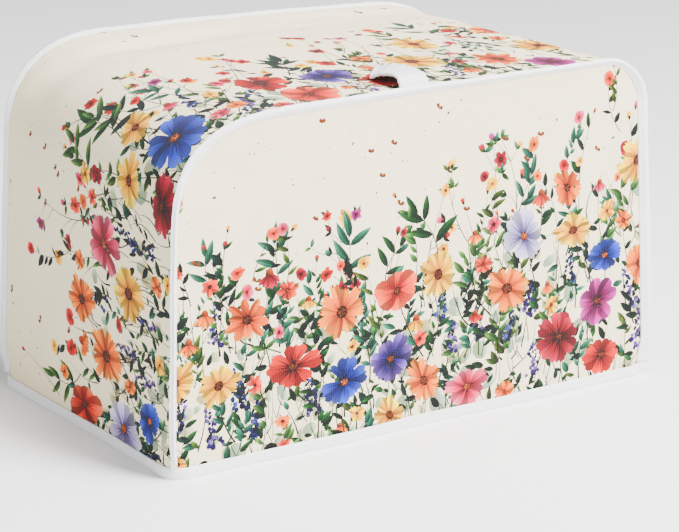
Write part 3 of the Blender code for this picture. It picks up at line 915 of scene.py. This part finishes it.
def printed_sheet(name, form, layout, tuck, art, outward):
    """Closed thin cloth: an outer layer cut along the artwork's outlines, a plain inner layer and a rim"""
    border, grid, coarse = layout
    spots = [Vector(spot) for spot in border] + [Vector(spot) for spot in grid]
    regions = [list(range(len(border)))]
    for shape in art.shapes:
        regions.append(list(range(len(spots), len(spots) + len(shape))))
        spots += [Vector(point) for point in shape]
    points, _, faces, sources, _, origins = delaunay_2d_cdt(spots, [], regions, 1, SAME_PRINT, True)
    flat = np.array([tuple(point) for point in points])
    kept = [number for number, origin in enumerate(origins) if 0 in origin]
    outer = np.array([faces[number] for number in kept])
    top = top_shapes(art, flat[outer].mean(1), [origins[number] for number in kept])
    plain = len(border) + len(grid)
    inside = set(np.unique(outer).tolist())
    keep = {new for new, olds in enumerate(sources) if olds and min(olds) < plain and new in inside}
    flat, outer, top = drop_covered(flat, counted_turn(flat, outer), top, keep)
    used = np.unique(outer)
    number = np.full(len(flat), -1)
    number[used] = np.arange(len(used))
    flat, outer = flat[used], counted_turn(flat[used], number[outer])

    loop = find_loop(flat, outer)
    picks = thin_out(flat[loop], INNER_EDGE_STEP)
    inner_points = [Vector(spot) for spot in tuck(flat[loop][picks])] + [Vector(spot) for spot in coarse]
    found = delaunay_2d_cdt(inner_points, [], [list(range(len(picks)))], 1, SAME_INNER, True)
    inner_flat = np.array([tuple(point) for point in found[0]])
    inner = np.array([face for face, origin in zip(found[2], found[5]) if 0 in origin])
    inner = counted_turn(inner_flat, inner)
    new_of = {old: new for new, olds in enumerate(found[3]) for old in olds}
    total = len(flat)
    rim = rim_strip(loop, picks, [total + new_of[k] for k in range(len(picks))])

    place = np.concatenate([form(flat), form(inner_flat, CLOTH)])
    normal = np.concatenate([
        normals_at(form, flat, 0.0, outward),
        -normals_at(form, inner_flat, CLOTH, outward),
    ])
    turn = 1 if outward > 0 else -1
    triangles = [tuple(face[::turn]) for face in outer.tolist()]
    triangles += [tuple(total + k for k in face[::-turn]) for face in inner.tolist()]
    rim = [tuple(face[::turn]) for face in rim]
    mesh = bpy.data.meshes.new(name)
    mesh.from_pydata(place.tolist(), [], triangles + rim)

    corner_flat = np.concatenate([flat, inner_flat])
    loops = np.empty(len(mesh.loops), int)
    mesh.loops.foreach_get("vertex_index", loops)
    inside = np.tile(to_linear(INSIDE), (len(loops), 1))
    count = 3 * len(outer)
    colours = np.concatenate([inside, np.ones((len(loops), 1))], 1)
    colours[:count, :3] = art.colour_at(np.repeat(top, 3), corner_flat[loops[:count]])
    layer = mesh.color_attributes.new("print_colour", "FLOAT_COLOR", "CORNER")
    layer.data.foreach_set("color", colours.astype(np.float32).ravel())
    weave = mesh.attributes.new("weave_at", "FLOAT_VECTOR", "POINT")
    at = np.concatenate([corner_flat, np.zeros((len(corner_flat), 1))], 1)
    weave.data.foreach_set("vector", at.astype(np.float32).ravel())
    mesh.shade_smooth()
    mesh.normals_split_custom_set_from_vertices(normal.tolist())
    return add_piece(name, mesh)


def add_piece(name, mesh):
    piece = bpy.data.objects.new(name, mesh)
    bpy.context.scene.collection.objects.link(piece)
    return piece


GRID = 0.0042
COARSE = 0.0075
BAND_END_POINTS = 60
PANEL_BASE_POINTS = 90
SEAM_ROWS = (0.0024, 0.0036, 0.0050, 0.0066, 0.0085, 0.0107, 0.0135)


def rows_between(low, high, step, near=()):
    """Row positions between two edges: given offsets from both, then even steps"""
    start = max(near) if near else 0.0
    count = max(2, round((high - low - 2 * start) / step))
    even = np.linspace(low + start, high - start, count + 1)
    if near:
        even = even[1:-1]
    both = [low + off for off in near] + [high - off for off in near]
    return np.unique(np.concatenate([even, both]))


def band_layout():
    """Border, fine grid and coarse grid of the band's flat piece"""
    along = rows_between(0.0, LONG, GRID)
    across = rows_between(RIM_OUTER, RUN - RIM_OUTER, GRID, [row - RIM_OUTER for row in SEAM_ROWS])
    border = [(u, RIM_OUTER) for u in along[:-1]]
    border += [(LONG, v) for v in np.linspace(RIM_OUTER, RUN - RIM_OUTER, BAND_END_POINTS)[:-1]]
    border += [(u, RUN - RIM_OUTER) for u in along[:0:-1]]
    border += [(0.0, v) for v in np.linspace(RUN - RIM_OUTER, RIM_OUTER, BAND_END_POINTS)[:-1]]
    grid = [(u, v) for u in along[1:-1] for v in across]
    wide_along = rows_between(0.004, LONG - 0.004, COARSE)
    wide_across = rows_between(RIM_INNER + 0.0016, RUN - RIM_INNER - 0.0016, COARSE)
    coarse = [(u, v) for u in wide_along for v in wide_across]
    return border, grid, coarse


def tuck_band(flat):
    """Inner edge of the band's cloth, further from the seams than the outer edge"""
    return np.stack([flat[:, 0], np.clip(flat[:, 1], RIM_INNER, RUN - RIM_INNER)], 1)


def panel_layout(form):
    """Border, fine grid and coarse grid of a panel's flat piece"""
    every = np.interp(rows_between(0.0, LONG, GRID), ALONG, PLACES)
    line = np.stack([np.interp(every, PLACES, form.line[:, k]) for k in (0, 1)], 1)
    inward = np.stack([np.interp(every, PLACES, form.inward[:, k]) for k in (0, 1)], 1)
    rings = [line + inward * off for off in (RIM_OUTER,) + SEAM_ROWS]
    base = [(x, CLOTH_FOOT) for x in np.linspace(rings[0][0, 0], rings[0][-1, 0], PANEL_BASE_POINTS)]
    border = [tuple(point) for point in rings[0][::-1]] + base[1:-1]
    grid = [tuple(point) for ring in rings[1:] for point in ring[1:-1:2]]
    grid += inner_spots(form, GRID, SEAM_ROWS[-1] + GRID * 0.7)
    return border, grid, inner_spots(form, COARSE, RIM_INNER + 0.003)


def inner_spots(form, step, off):
    """Even grid of a panel's flat piece, away from its seam"""
    low_x, high_x = form.line[:, 0].min(), form.line[:, 0].max()
    high_z = form.line[:, 1].max()
    heights = np.arange(CLOTH_FOOT + 0.002, high_z, step)
    spots = [(x, z) for x in np.arange(low_x, high_x, step) for z in heights]
    return [spot for spot in spots if form.inside(spot) > off]


def ring_faces(rings, ring, closed_loop):
    """Faces of a tube of rings of points; an open one gets end caps"""
    faces = []
    last = rings if closed_loop else rings - 1
    for row in range(last):
        a, b = row * ring, (row + 1) % rings * ring
        for k in range(ring):
            n = (k + 1) % ring
            faces.append((a + k, a + n, b + n, b + k))
    if not closed_loop:
        faces.append(tuple(reversed(range(ring))))
        faces.append(tuple(range((rings - 1) * ring, rings * ring)))
    return faces


def tube_piece(name, rings, closed_loop=False, lengths=None, flip=False):
    """Piece from rings of points, with length along and round it kept for the weave"""
    rings = np.asarray(rings, float)
    count, ring = rings.shape[:2]
    faces = ring_faces(count, ring, closed_loop)
    if flip:
        faces = [face[::-1] for face in faces]
    mesh = bpy.data.meshes.new(name)
    mesh.from_pydata(rings.reshape(-1, 3).tolist(), [], faces)
    steps = np.linalg.norm(np.diff(rings[:, 0], axis=0), axis=1)
    along = np.concatenate([[0], np.cumsum(steps)]) if lengths is None else lengths
    sides = np.linalg.norm(np.diff(rings[0], axis=0), axis=1)
    round_it = np.concatenate([[0], np.cumsum(sides)])
    at = np.stack([np.repeat(along, ring), np.tile(round_it, count), np.zeros(count * ring)], 1)
    weave = mesh.attributes.new("weave_at", "FLOAT_VECTOR", "POINT")
    weave.data.foreach_set("vector", at.astype(np.float32).ravel())
    mesh.shade_smooth()
    return add_piece(name, mesh)


# Bound seam, outward and forward: the lip of its front half, from the hidden root to the stem
LIP = ((-0.00095, -0.00032), (-0.00158, 0.00010), (-0.00150, 0.00046), (-0.00070, 0.00100))
TAPE_STEP = 0.0022


def flange_section(depth, lean, fat):
    """Points round a bound seam, outward and forward: lips on the cloth, a stem, then the leaning flap"""
    half = BINDING_THICK / 2 * fat
    stem, lean = math.radians(45), math.radians(lean)
    flap = depth - BINDING_STEM
    base = np.array([math.cos(stem), math.sin(stem)]) * BINDING_STEM
    ahead = np.array([math.cos(lean), math.sin(lean)])
    across = np.array([-math.sin(lean), math.cos(lean)])
    middle = (stem + lean) / 2
    upper = [np.array(point) for point in LIP]
    lower = [np.array(point[::-1]) for point in LIP]
    turned_across = np.array([-math.sin(middle), math.cos(middle)])
    upper.append(base + turned_across * half)
    lower.append(base - turned_across * half)
    for reach, share in ((0.35, 1.03), (0.70, 1.06), (0.88, 0.98)):
        upper.append(base + ahead * flap * reach + across * half * share)
        lower.append(base + ahead * flap * reach - across * half * share)
    tip = [base + ahead * (flap - half * (1 - math.cos(turn))) + across * half * 0.95 * math.sin(turn)
           for turn in (0.95, 0.0, -0.95)]
    return upper + tip + lower[::-1]


def seam_spots(back, outward, forward, along):
    """Points beside a seam, at lengths along it"""
    place = np.interp(along, ALONG, PLACES)
    share = np.full(len(place), 1.0 if back else 0.0)
    return shell_point(place, share, -outward, -forward, 1.0 if back else -1.0)


def make_seam_binding(name, back, table):
    line = LINE_BACK if back else LINE_FRONT
    foot = HEM_TALL + 0.0002
    start = ALONG[np.argmax(line[:, 1] > foot)]
    end = ALONG[len(line) - 1 - np.argmax(line[::-1, 1] > foot)]
    along = np.linspace(start, end, round((end - start) / TAPE_STEP))
    place = np.interp(along, ALONG, PLACES)
    depth = read_table(table, place, 1) + 0.00018 * np.sin(along * 610) * np.sin(along * 143 + 1.0)
    lean = read_table(table, place, 2) + 3.0 * np.sin(along * 97 + (2.0 if back else 0.5))
    fat = 1 + 0.07 * np.sin(along * 780) + 0.05 * np.sin(along * 331)
    sections = np.array([flange_section(*facts) for facts in zip(depth, lean, fat)])
    columns = range(sections.shape[1])
    rings = [seam_spots(back, sections[:, k, 0], sections[:, k, 1], along) for k in columns]
    piece = tube_piece(name, np.stack(rings, 1), lengths=along, flip=not back)
    return piece, along, sections


def plan_path():
    """Hem line in plan, as points and outward directions, once round"""
    left, right = -WIDTH / 2 + SEAM_IN_LEFT, WIDTH / 2 - SEAM_IN_RIGHT
    centres = (
        (right - CORNER_HEM, -FACE + CORNER_HEM, -90),
        (right + BACK_OUT - CORNER_HEM, FACE - CORNER_HEM, 0),
        (left - BACK_OUT + CORNER_HEM, FACE - CORNER_HEM, 90),
        (left + CORNER_HEM, -FACE + CORNER_HEM, 180),
    )
    points, outs = [], []
    for number, (x, y, start) in enumerate(centres):
        for turn in np.radians(np.linspace(start, start + 90, 10)):
            out = np.array([math.cos(turn), math.sin(turn)])
            points.append(np.array([x, y]) + out * CORNER_HEM)
            outs.append(out)
        ahead = np.array(centres[(number + 1) % 4][:2]) + outs[-1] * CORNER_HEM
        here, out = points[-1], outs[-1]
        steps = round(np.linalg.norm(ahead - here) / 0.003)
        points += [here + (ahead - here) * k / steps for k in range(1, steps)]
        outs += [out] * (steps - 1)
    return np.array(points), np.array(outs)


HEM_SWELL = 0.00010
# Hem channel as outward and height, from its outer bottom edge round to the inner one
HEM_SECTION = (
    (0.0007, 0.0), (0.00115, 0.00018), (0.00138, 0.00075), (0.00144, 0.0024), (0.00134, 0.0044),
    (0.00118, 0.0056), (0.00086, 0.0061), (0.00044, 0.0062), (0.00016, 0.0059), (0.00014, 0.0050),
    (0.00022, 0.0011), (-0.0022, 0.0011), (-0.00214, 0.0050), (-0.00216, 0.0059), (-0.00244, 0.0062),
    (-0.00290, 0.0061), (-0.00322, 0.0056), (-0.00334, 0.0024), (-0.00330, 0.00075), (-0.0030, 0.00018),
    (-0.0026, 0.0),
)


def hem_spots(points, outs, outward, high):
    spots = points + outs * outward[:, None]
    return drape(spots[:, 0], spots[:, 1], high, np.zeros(len(spots)))


def make_hem_binding():
    points, outs = plan_path()
    steps = np.linalg.norm(np.roll(points, -1, 0) - points, axis=1)
    along = np.concatenate([[0], np.cumsum(steps)[:-1]])
    rings = []
    for outward, high in HEM_SECTION:
        shows = high > 0.0002 and outward > 0.0003
        swell = (HEM_SWELL if shows else 0.0) * np.sin(along * 690) * np.sin(along * 231)
        rise = 0.00015 * np.sin(along * 88 + 0.6) * (high > 0.005)
        rings.append(hem_spots(points, outs, outward + swell, high + rise))
    return tube_piece("hem_binding", np.stack(rings, 1), True, along), points, outs, along


def top_height(x, behind):
    """Outer surface of the top at x, a distance behind the front seam"""
    share = behind / RUN
    low = station(np.full_like(share, 2.0), share)[0]
    high = station(np.full_like(share, 3.0), share)[0]
    place = 2 + (x - low) / (high - low)
    return shell_point(place, share, np.zeros_like(x), behind, -1.0)[:, 2]


STRAP_SLOPE_STEP = 0.012
STRAP_ROWS = 44
# Cross-section of the strap: side 0 to 1 across it, and layer 0 underneath to 1 on top
STRAP_RING = (
    (0.02, 0.10), (0.09, 0.0), (0.17, 0.06), (0.34, 0.10), (0.5, 0.10), (0.66, 0.10), (0.83, 0.06),
    (0.91, 0.0), (0.98, 0.10), (1.0, 0.5), (0.985, 0.92), (0.92, 1.06), (0.86, 1.04), (0.82, 0.90),
    (0.66, 0.94), (0.5, 0.96), (0.34, 0.94), (0.18, 0.90), (0.14, 1.04), (0.08, 1.06), (0.015, 0.92),
    (0.0, 0.5),
)


def strap_spots(share, side, layer):
    """Points of the strap: share of its run, side 0 to 1 across it, layer 0 underneath and 1 on top"""
    run = blend(STRAP_RUN_LEFT, STRAP_RUN_RIGHT, side)
    rise = read_table(STRAP_ARCH, share + STRAP_SLOPE_STEP) - read_table(STRAP_ARCH, share)
    length = np.hypot(STRAP_SLOPE_STEP * run, rise)
    thick = STRAP_THICK * layer
    x = STRAP_MIDDLE + STRAP_WIDE * (side - 0.5) - STRAP_DRIFT * share * share * (1 + side) / 2
    behind = STRAP_START + share * run + (STRAP_THICK - thick) * rise / length
    base = top_height(x, np.maximum(behind, CORNER_HIGH))
    wave = 0.00022 * np.sin(share * 9 + side * 2.4) * smooth(share / 0.2) * smooth((1 - share) / 0.2)
    high = read_table(STRAP_ARCH, share) + thick * STRAP_SLOPE_STEP * run / length + wave
    return np.stack([x, (behind - FACE) * (1 + FLARE * (1 - base / HEIGHT)), base + high], -1)


def make_strap():
    share = np.linspace(0, 1, STRAP_ROWS)
    share = share * (0.5 + 0.5 * share)
    rings = [strap_spots(share, np.full(STRAP_ROWS, side), np.full(STRAP_ROWS, layer))
             for side, layer in STRAP_RING]
    return tube_piece("strap", np.stack(rings, 1), lengths=share * 0.034)


STITCH_LONG = 0.0021
STITCH_EVERY = 0.0031
STITCH_THICK = 0.00021
HEM_STITCH_OUT = (0.00134, -0.00328)    # outer and inner row, outward of the hem line
HEM_STITCH_HIGH = 0.0047
STRAP_EDGE_ROWS = (0.115, 0.885)        # shares across the strap
STRAP_END_ROWS = (0.93, 0.985)          # shares along the strap


def make_stitches(name, starts, ends, lifts):
    """Row of small raised thread stitches between pairs of points"""
    points, faces = [], []
    for start, end, lift in zip(starts, ends, lifts):
        run = end - start
        side = np.cross(run, lift)
        side /= max(1e-9, np.linalg.norm(side))
        lift = lift / np.linalg.norm(lift)
        first = len(points)
        points.append(start - lift * STITCH_THICK * 0.6)
        for share, size in ((0.14, 0.85), (0.5, 1.1), (0.86, 0.85)):
            middle = start + run * share
            for turn in range(5):
                angle = 2 * math.pi * turn / 5
                off = side * math.cos(angle) + lift * math.sin(angle)
                points.append(middle + off * STITCH_THICK * size)
        points.append(end - lift * STITCH_THICK * 0.6)
        for k in range(5):
            n = (k + 1) % 5
            faces.append((first, first + 1 + n, first + 1 + k))
            for row in (first + 1, first + 6):
                faces.append((row + k, row + n, row + 5 + n, row + 5 + k))
            faces.append((first + 16, first + 11 + k, first + 11 + n))
    mesh = bpy.data.meshes.new(name)
    mesh.from_pydata([tuple(point) for point in points], [], faces)
    mesh.shade_smooth()
    return add_piece(name, mesh)


def seam_stitches(name, back, along, sections):
    """Stitch lines on both faces of a bound seam, a little in from its root"""
    starts, ends, lifts = [], [], []
    middle = sections.shape[1]
    for column, other in ((5, middle - 6), (middle - 6, 5)):
        def spots_at(at, high=0.0):
            out = np.interp(at, along, blend(sections[:, column, 0], sections[:, other, 0], -high))
            ahead = np.interp(at, along, blend(sections[:, column, 1], sections[:, other, 1], -high))
            return seam_spots(back, out, ahead, at)
        at = np.arange(along[0] + 0.002, along[-1] - STITCH_LONG - 0.001, STITCH_EVERY)
        low, high = spots_at(at, 0.03), spots_at(at + STITCH_LONG, 0.03)
        starts.append(low)
        ends.append(high)
        lifts.append(spots_at(at, 0.5) - spots_at(at))
    return make_stitches(name, np.concatenate(starts), np.concatenate(ends), np.concatenate(lifts))


def hem_stitches(points, outs, along):
    total = along[-1]
    at = np.arange(0.001, total - STITCH_LONG, STITCH_EVERY)
    rows = []
    for outward in HEM_STITCH_OUT:
        def spots_at(length, outward=outward):
            x, y = (np.interp(length, along, points[:, k]) for k in (0, 1))
            out = np.stack([np.interp(length, along, outs[:, k]) for k in (0, 1)], 1)
            flat = np.stack([x, y], 1)
            high = np.full(len(length), HEM_STITCH_HIGH)
            return hem_spots(flat, out, np.full(len(length), outward), high)
        low, high = spots_at(at), spots_at(at + STITCH_LONG)
        lift = spots_at(at, outward * 1.5) - spots_at(at)
        rows.append((low, high, lift))
    return make_stitches("hem_stitches", *(np.concatenate(part) for part in zip(*rows)))


def strap_stitches():
    """Two rows along the strap's edges and a box of stitches across its far end"""
    rows = []
    for side in STRAP_EDGE_ROWS:
        share = np.arange(0.06, 0.93, 0.075)
        wide = np.full_like(share, side)
        low = strap_spots(share, wide, np.full_like(share, 1.08))
        high = strap_spots(share + 0.05, wide, np.full_like(share, 1.08))
        rows.append((low, high, strap_spots(share, wide, np.full_like(share, 2.0)) - low))
    for share_at in STRAP_END_ROWS:
        wide = np.arange(0.10, 0.84, 0.15)
        share = np.full_like(wide, share_at)
        low = strap_spots(share, wide, np.full_like(share, 1.0))
        high = strap_spots(share, wide + 0.10, np.full_like(share, 1.0))
        rows.append((low, high, strap_spots(share, wide, np.full_like(share, 2.0)) - low))
    return make_stitches("strap_stitches", *(np.concatenate(part) for part in zip(*rows)))


class Nodes:
    """Short helper to build a material's nodes"""

    def __init__(self, name):
        self.material = bpy.data.materials.new(name)
        self.material.use_nodes = True
        self.tree = self.material.node_tree
        self.shader = self.tree.nodes["Principled BSDF"]

    def add(self, kind, **values):
        node = self.tree.nodes.new(kind)
        for key, value in values.items():
            setattr(node, key, value)
        return node

    def join(self, source, target):
        self.tree.links.new(source, target)

    def feed(self, socket, value):
        if isinstance(value, bpy.types.NodeSocket):
            self.join(value, socket)
        else:
            socket.default_value = value

    def sum(self, kind, a, b=0.0):
        node = self.add("ShaderNodeMath", operation=kind)
        self.feed(node.inputs[0], a)
        self.feed(node.inputs[1], b)
        return node.outputs[0]

    def noise(self, at, scale, detail=3.0, rough=0.5):
        node = self.add("ShaderNodeTexNoise")
        self.feed(node.inputs["Vector"], at)
        for key, value in (("Scale", scale), ("Detail", detail), ("Roughness", rough)):
            node.inputs[key].default_value = value
        return node.outputs["Fac"]

    def plain(self, colour):
        node = self.add("ShaderNodeRGB")
        node.outputs[0].default_value = (*to_linear(colour), 1.0)
        return node.outputs[0]

    def set_shader(self, *settings):
        for key, value in settings:
            self.shader.inputs[key].default_value = value

    def bump(self, height, strength, distance):
        node = self.add("ShaderNodeBump")
        node.inputs["Strength"].default_value = strength
        node.inputs["Distance"].default_value = distance
        self.join(height, node.inputs["Height"])
        self.join(node.outputs[0], self.shader.inputs["Normal"])

    def times(self, colour, factor):
        """Colour with its brightness scaled"""
        node = self.add("ShaderNodeVectorMath", operation="SCALE")
        self.feed(node.inputs[0], colour)
        self.feed(node.inputs["Scale"], factor)
        return node.outputs[0]


def weave_height(nodes, at, pitch, slant):
    """Raised threads of a plain or slanted weave, 0 to 1"""
    split = nodes.add("ShaderNodeSeparateXYZ")
    nodes.join(at, split.inputs[0])
    wander = nodes.sum("MULTIPLY", nodes.sum("SUBTRACT", nodes.noise(at, 260.0, 2.0), 0.5), pitch * 0.9)
    u = nodes.sum("ADD", split.outputs[0], wander)
    v = nodes.sum("ADD", split.outputs[1], wander)
    if slant:
        u, v = nodes.sum("ADD", u, nodes.sum("MULTIPLY", v, slant)), v
    turn = math.pi / pitch
    warp = nodes.sum("SINE", nodes.sum("MULTIPLY", u, turn))
    weft = nodes.sum("SINE", nodes.sum("MULTIPLY", v, turn))
    warp, weft = nodes.sum("MULTIPLY", warp, warp), nodes.sum("MULTIPLY", weft, weft)
    share = 0.75 if slant else 0.5
    return nodes.sum("ADD", nodes.sum("MULTIPLY", warp, share), nodes.sum("MULTIPLY", weft, 1 - share))


def cloth_material(name, colour, pitch, slant, thread_shade, relief, blotch=0.05):
    """Woven cloth: thread relief, painted light and shade of the threads, uneven tone and fibres over one
    colour, or over the printed colours
    """
    nodes = Nodes(name)
    at = nodes.add("ShaderNodeAttribute", attribute_name="weave_at").outputs["Vector"]
    if colour is None:
        base = nodes.add("ShaderNodeAttribute", attribute_name="print_colour").outputs["Color"]
    else:
        base = nodes.plain(colour)
    threads = weave_height(nodes, at, pitch, slant)
    fibre = nodes.noise(at, 900.0, 3.0, 0.6)
    cloud = nodes.noise(at, 34.0, 4.0, 0.55)
    # Painted light and shade of the weave: colour lighter on the raised threads and darker in the hollows
    # between them
    tone = nodes.sum("ADD", nodes.sum("MULTIPLY", threads, thread_shade), 1 - thread_shade * 0.55)
    tone = nodes.sum("ADD", tone, nodes.sum("MULTIPLY", nodes.sum("SUBTRACT", cloud, 0.5), blotch))
    tone = nodes.sum("ADD", tone, nodes.sum("MULTIPLY", nodes.sum("SUBTRACT", fibre, 0.5), 0.10))
    nodes.join(nodes.times(base, tone), nodes.shader.inputs["Base Color"])
    rough = nodes.sum("ADD", nodes.sum("MULTIPLY", fibre, 0.14), 0.82)
    nodes.join(rough, nodes.shader.inputs["Roughness"])
    nodes.set_shader(("Specular IOR Level", 0.22), ("Sheen Weight", 0.08), ("Sheen Roughness", 0.5))
    nodes.bump(nodes.sum("ADD", threads, nodes.sum("MULTIPLY", fibre, 0.5)), 0.55, relief)
    return nodes.material


def thread_material(name, colour):
    """Sewing thread: small twist lines in object space"""
    nodes = Nodes(name)
    at = nodes.add("ShaderNodeTexCoord").outputs["Object"]
    twist = nodes.noise(at, 1600.0, 2.0)
    tone = nodes.sum("ADD", nodes.sum("MULTIPLY", twist, 0.24), 0.88)
    nodes.join(nodes.times(nodes.plain(colour), tone), nodes.shader.inputs["Base Color"])
    nodes.set_shader(("Roughness", 0.62), ("Specular IOR Level", 0.3))
    nodes.bump(twist, 0.4, 0.0001)
    return nodes.material


def floor_material():
    nodes = Nodes("plain_floor")
    nodes.set_shader(("Base Color", (0.92, 0.92, 0.92, 1)), ("Roughness", 0.9), ("Specular IOR Level", 0.1))
    return nodes.material


def dress(piece, material, node):
    piece.data.materials.append(material)
    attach(piece, "root")
    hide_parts(node)
    return piece


# Petal kind and number of a large flower of each colour, and the order in which colours are handed out
HERO_FORMS = {
    "golden": ("toothed", 11), "orange": ("toothed", 12), "amber": ("narrow", 10), "blue": ("broad", 6),
    "red": ("broad", 5), "pink": ("broad", 7), "crimson": ("broad", 6), "coral": ("round", 6),
    "lilac": ("broad", 6), "violet": ("broad", 7), "magenta": ("round", 7),
}
HERO_ORDER = (
    "golden", "red", "orange", "blue", "golden", "pink", "coral", "amber", "blue", "golden", "crimson",
    "orange", "lilac", "golden", "red", "orange", "violet", "golden", "magenta", "orange",
)
# Height of the meadow at places along a flat piece
BAND_HEIGHTS = (
    (0.0, 0.112), (0.06, 0.108), (0.12, 0.098), (0.17, 0.072), (0.22, 0.058), (0.28, 0.060), (0.34, 0.078),
    (0.40, 0.100), (0.46, 0.112), (0.52, 0.100), (0.60, 0.104), (0.70, 0.10),
)
FRONT_HEIGHTS = (
    (0.0, 0.112), (0.04, 0.104), (0.10, 0.090), (0.15, 0.092), (0.20, 0.106), (0.26, 0.126), (0.31, 0.142),
)
BACK_HEIGHTS = (
    (0.0, 0.130), (0.05, 0.120), (0.11, 0.096), (0.17, 0.088), (0.22, 0.094), (0.27, 0.106), (0.31, 0.114),
)


def place_heroes(wide, heights, count, seed):
    """Large flowers at chance places under the height line, apart from each other"""
    chance = random.Random(seed)
    found = []
    for _ in range(count * 80):
        if len(found) == count:
            break
        size = chance.uniform(0.0125, 0.0180)
        u = chance.uniform(0.004, wide - 0.004)
        v = float(read_table(heights, u)) * chance.uniform(0.10, 0.94)
        if all((u - x) ** 2 + (v - y) ** 2 > (0.92 * (size + other)) ** 2 for x, y, other, *_ in found):
            name = HERO_ORDER[len(found) % len(HERO_ORDER)]
            found.append((u, v, size, name, *HERO_FORMS[name]))
    return found


def place_branches(wide, heights, count, seed):
    """Roots and tips of branching stems that rise above the meadow at chance places"""
    chance = random.Random(seed)
    found = []
    for _ in range(count):
        u = chance.uniform(0.03, wide - 0.03)
        v = float(read_table(heights, u)) * chance.uniform(0.68, 0.84)
        found.append((u, v, u + chance.uniform(-0.028, 0.028), v + chance.uniform(0.046, 0.066)))
    return found


def place_sprigs(wide, heights, count, seed):
    """Roots, directions in degrees and sizes of bold sprigs at chance places near the height line"""
    chance = random.Random(seed)
    found = []
    for _ in range(count):
        u = chance.uniform(0.02, wide - 0.02)
        v = float(read_table(heights, u)) * chance.uniform(0.84, 1.02)
        found.append((u, v, chance.uniform(58, 122), chance.uniform(0.023, 0.031)))
    return found


def grow(wide, tall, heights, bias, seed, amount, counts):
    """Artwork of one flat piece: its counts are of large flowers, branches and sprigs"""
    art = Artwork()
    heroes = place_heroes(wide, heights, counts[0], seed + 100)
    branches = place_branches(wide, heights, counts[1], seed + 200)
    sprigs = place_sprigs(wide, heights, counts[2], seed + 300)
    meadow(art, Field(wide, tall, heights, heroes, bias), seed, amount, branches, sprigs)
    return art


# How crowded each meadow is, how far the band's leans to the left side, and the seeds of their layouts
BAND_AMOUNT = 0.66
BAND_BIAS = 1.30
BAND_COUNTS = (32, 16, 13)
PANEL_AMOUNT = 1.35
PANEL_COUNTS = (21, 6, 6)
BAND_SEED, FRONT_SEED, BACK_SEED = 7, 23, 61


def band_art():
    return grow(LONG, RUN, BAND_HEIGHTS, BAND_BIAS, BAND_SEED, BAND_AMOUNT, BAND_COUNTS)


def panel_art(heights, seed):
    art = grow(WIDTH, HEIGHT, heights, 1.0, seed, PANEL_AMOUNT, PANEL_COUNTS)
    shift = np.array([-WIDTH / 2, 0.0])
    art.shapes = [shape + shift for shape in art.shapes]
    art.starts = [start + shift for start in art.starts]
    return art


def make_cloths(printed):
    """Band, front panel and back panel, each with a meadow of its own"""
    band = printed_sheet("band_cloth", band_point, band_layout(), tuck_band, band_art(), 1.0)
    dress(band, printed, "band")
    form = PanelForm(False)
    art = panel_art(FRONT_HEIGHTS, FRONT_SEED)
    front = printed_sheet("front_cloth", form, panel_layout(form), form.tuck, art, 1.0)
    dress(front, printed, "panel_front")
    form = PanelForm(True)
    art = panel_art(BACK_HEIGHTS, BACK_SEED)
    back = printed_sheet("back_cloth", form, panel_layout(form), form.tuck, art, -1.0)
    dress(back, printed, "panel_back")


def build_cover():
    printed = cloth_material("printed_canvas", None, 0.00115, 0.0, 0.12, 0.00036, 0.07)
    tape = cloth_material("binding_tape", (238, 238, 241), 0.00080, 0.35, 0.050, 0.00014)
    webbing = cloth_material("strap_webbing", (232, 232, 236), 0.00095, 0.5, 0.070, 0.00018)
    thread = thread_material("sewing_thread", (236, 235, 234))

    make_cloths(printed)
    for name, is_back, table in (("front", False, FLANGE_FRONT), ("back", True, FLANGE_BACK)):
        piece, along, sections = make_seam_binding("seam_binding_" + name, is_back, table)
        dress(piece, tape, "binding_" + name)
        rows = seam_stitches("seam_stitches_" + name, is_back, along, sections)
        dress(rows, thread, "binding_" + name)
    hem, points, outs, along = make_hem_binding()
    dress(hem, tape, "binding_hem")
    dress(hem_stitches(points, outs, along), thread, "binding_hem")
    strap = dress(make_strap(), webbing, "handle")
    dress(strap_stitches(), thread, "handle")


def make_stage():
    mesh = bpy.data.meshes.new("floor")
    size = 6.0
    corners = [(-size, -size, 0), (size, -size, 0), (size, size, 0), (-size, size, 0)]
    mesh.from_pydata(corners, [], [(0, 1, 2, 3)])
    floor = add_piece("floor", mesh)
    floor.data.materials.append(floor_material())


# Softboxes: name, place, size and power
LIGHTS = (
    ("key", (0.55, -1.3, 1.25), 0.7, 96.0),
    ("left_fill", (-1.5, -0.5, 0.7), 1.0, 9.0),
    ("above", (0.3, -0.5, 1.7), 0.7, 56.0),
)
WORLD_STRENGTH = 0.52


def add_light(name, place, size, power):
    light = bpy.data.lights.new(name, "AREA")
    light.shape = "SQUARE"
    light.size = size
    light.energy = power
    lamp = bpy.data.objects.new(name, light)
    lamp.location = place
    lamp.rotation_euler = (TARGET - Vector(place)).to_track_quat("-Z", "Y").to_euler()
    bpy.context.scene.collection.objects.link(lamp)


def make_lights():
    world = bpy.data.worlds.new("studio")
    bpy.context.scene.world = world
    world.use_nodes = True
    background = world.node_tree.nodes["Background"]
    background.inputs["Color"].default_value = (1.0, 1.0, 1.0, 1)
    background.inputs["Strength"].default_value = WORLD_STRENGTH
    for facts in LIGHTS:
        add_light(*facts)


def make_camera():
    camera = bpy.data.cameras.new("camera")
    camera.sensor_width = SENSOR
    camera.lens = FOCAL_PIXELS / FRAME_WIDE * SENSOR
    eye = bpy.data.objects.new("camera", camera)
    back = Vector((
        math.sin(AZIMUTH) * math.cos(ELEVATION),
        -math.cos(AZIMUTH) * math.cos(ELEVATION),
        math.sin(ELEVATION),
    ))
    eye.location = TARGET + back * DISTANCE
    eye.rotation_euler = (-back).to_track_quat("-Z", "Y").to_euler()
    bpy.context.scene.collection.objects.link(eye)
    bpy.context.scene.camera = eye


build_cover()
make_stage()
make_lights()
make_camera()
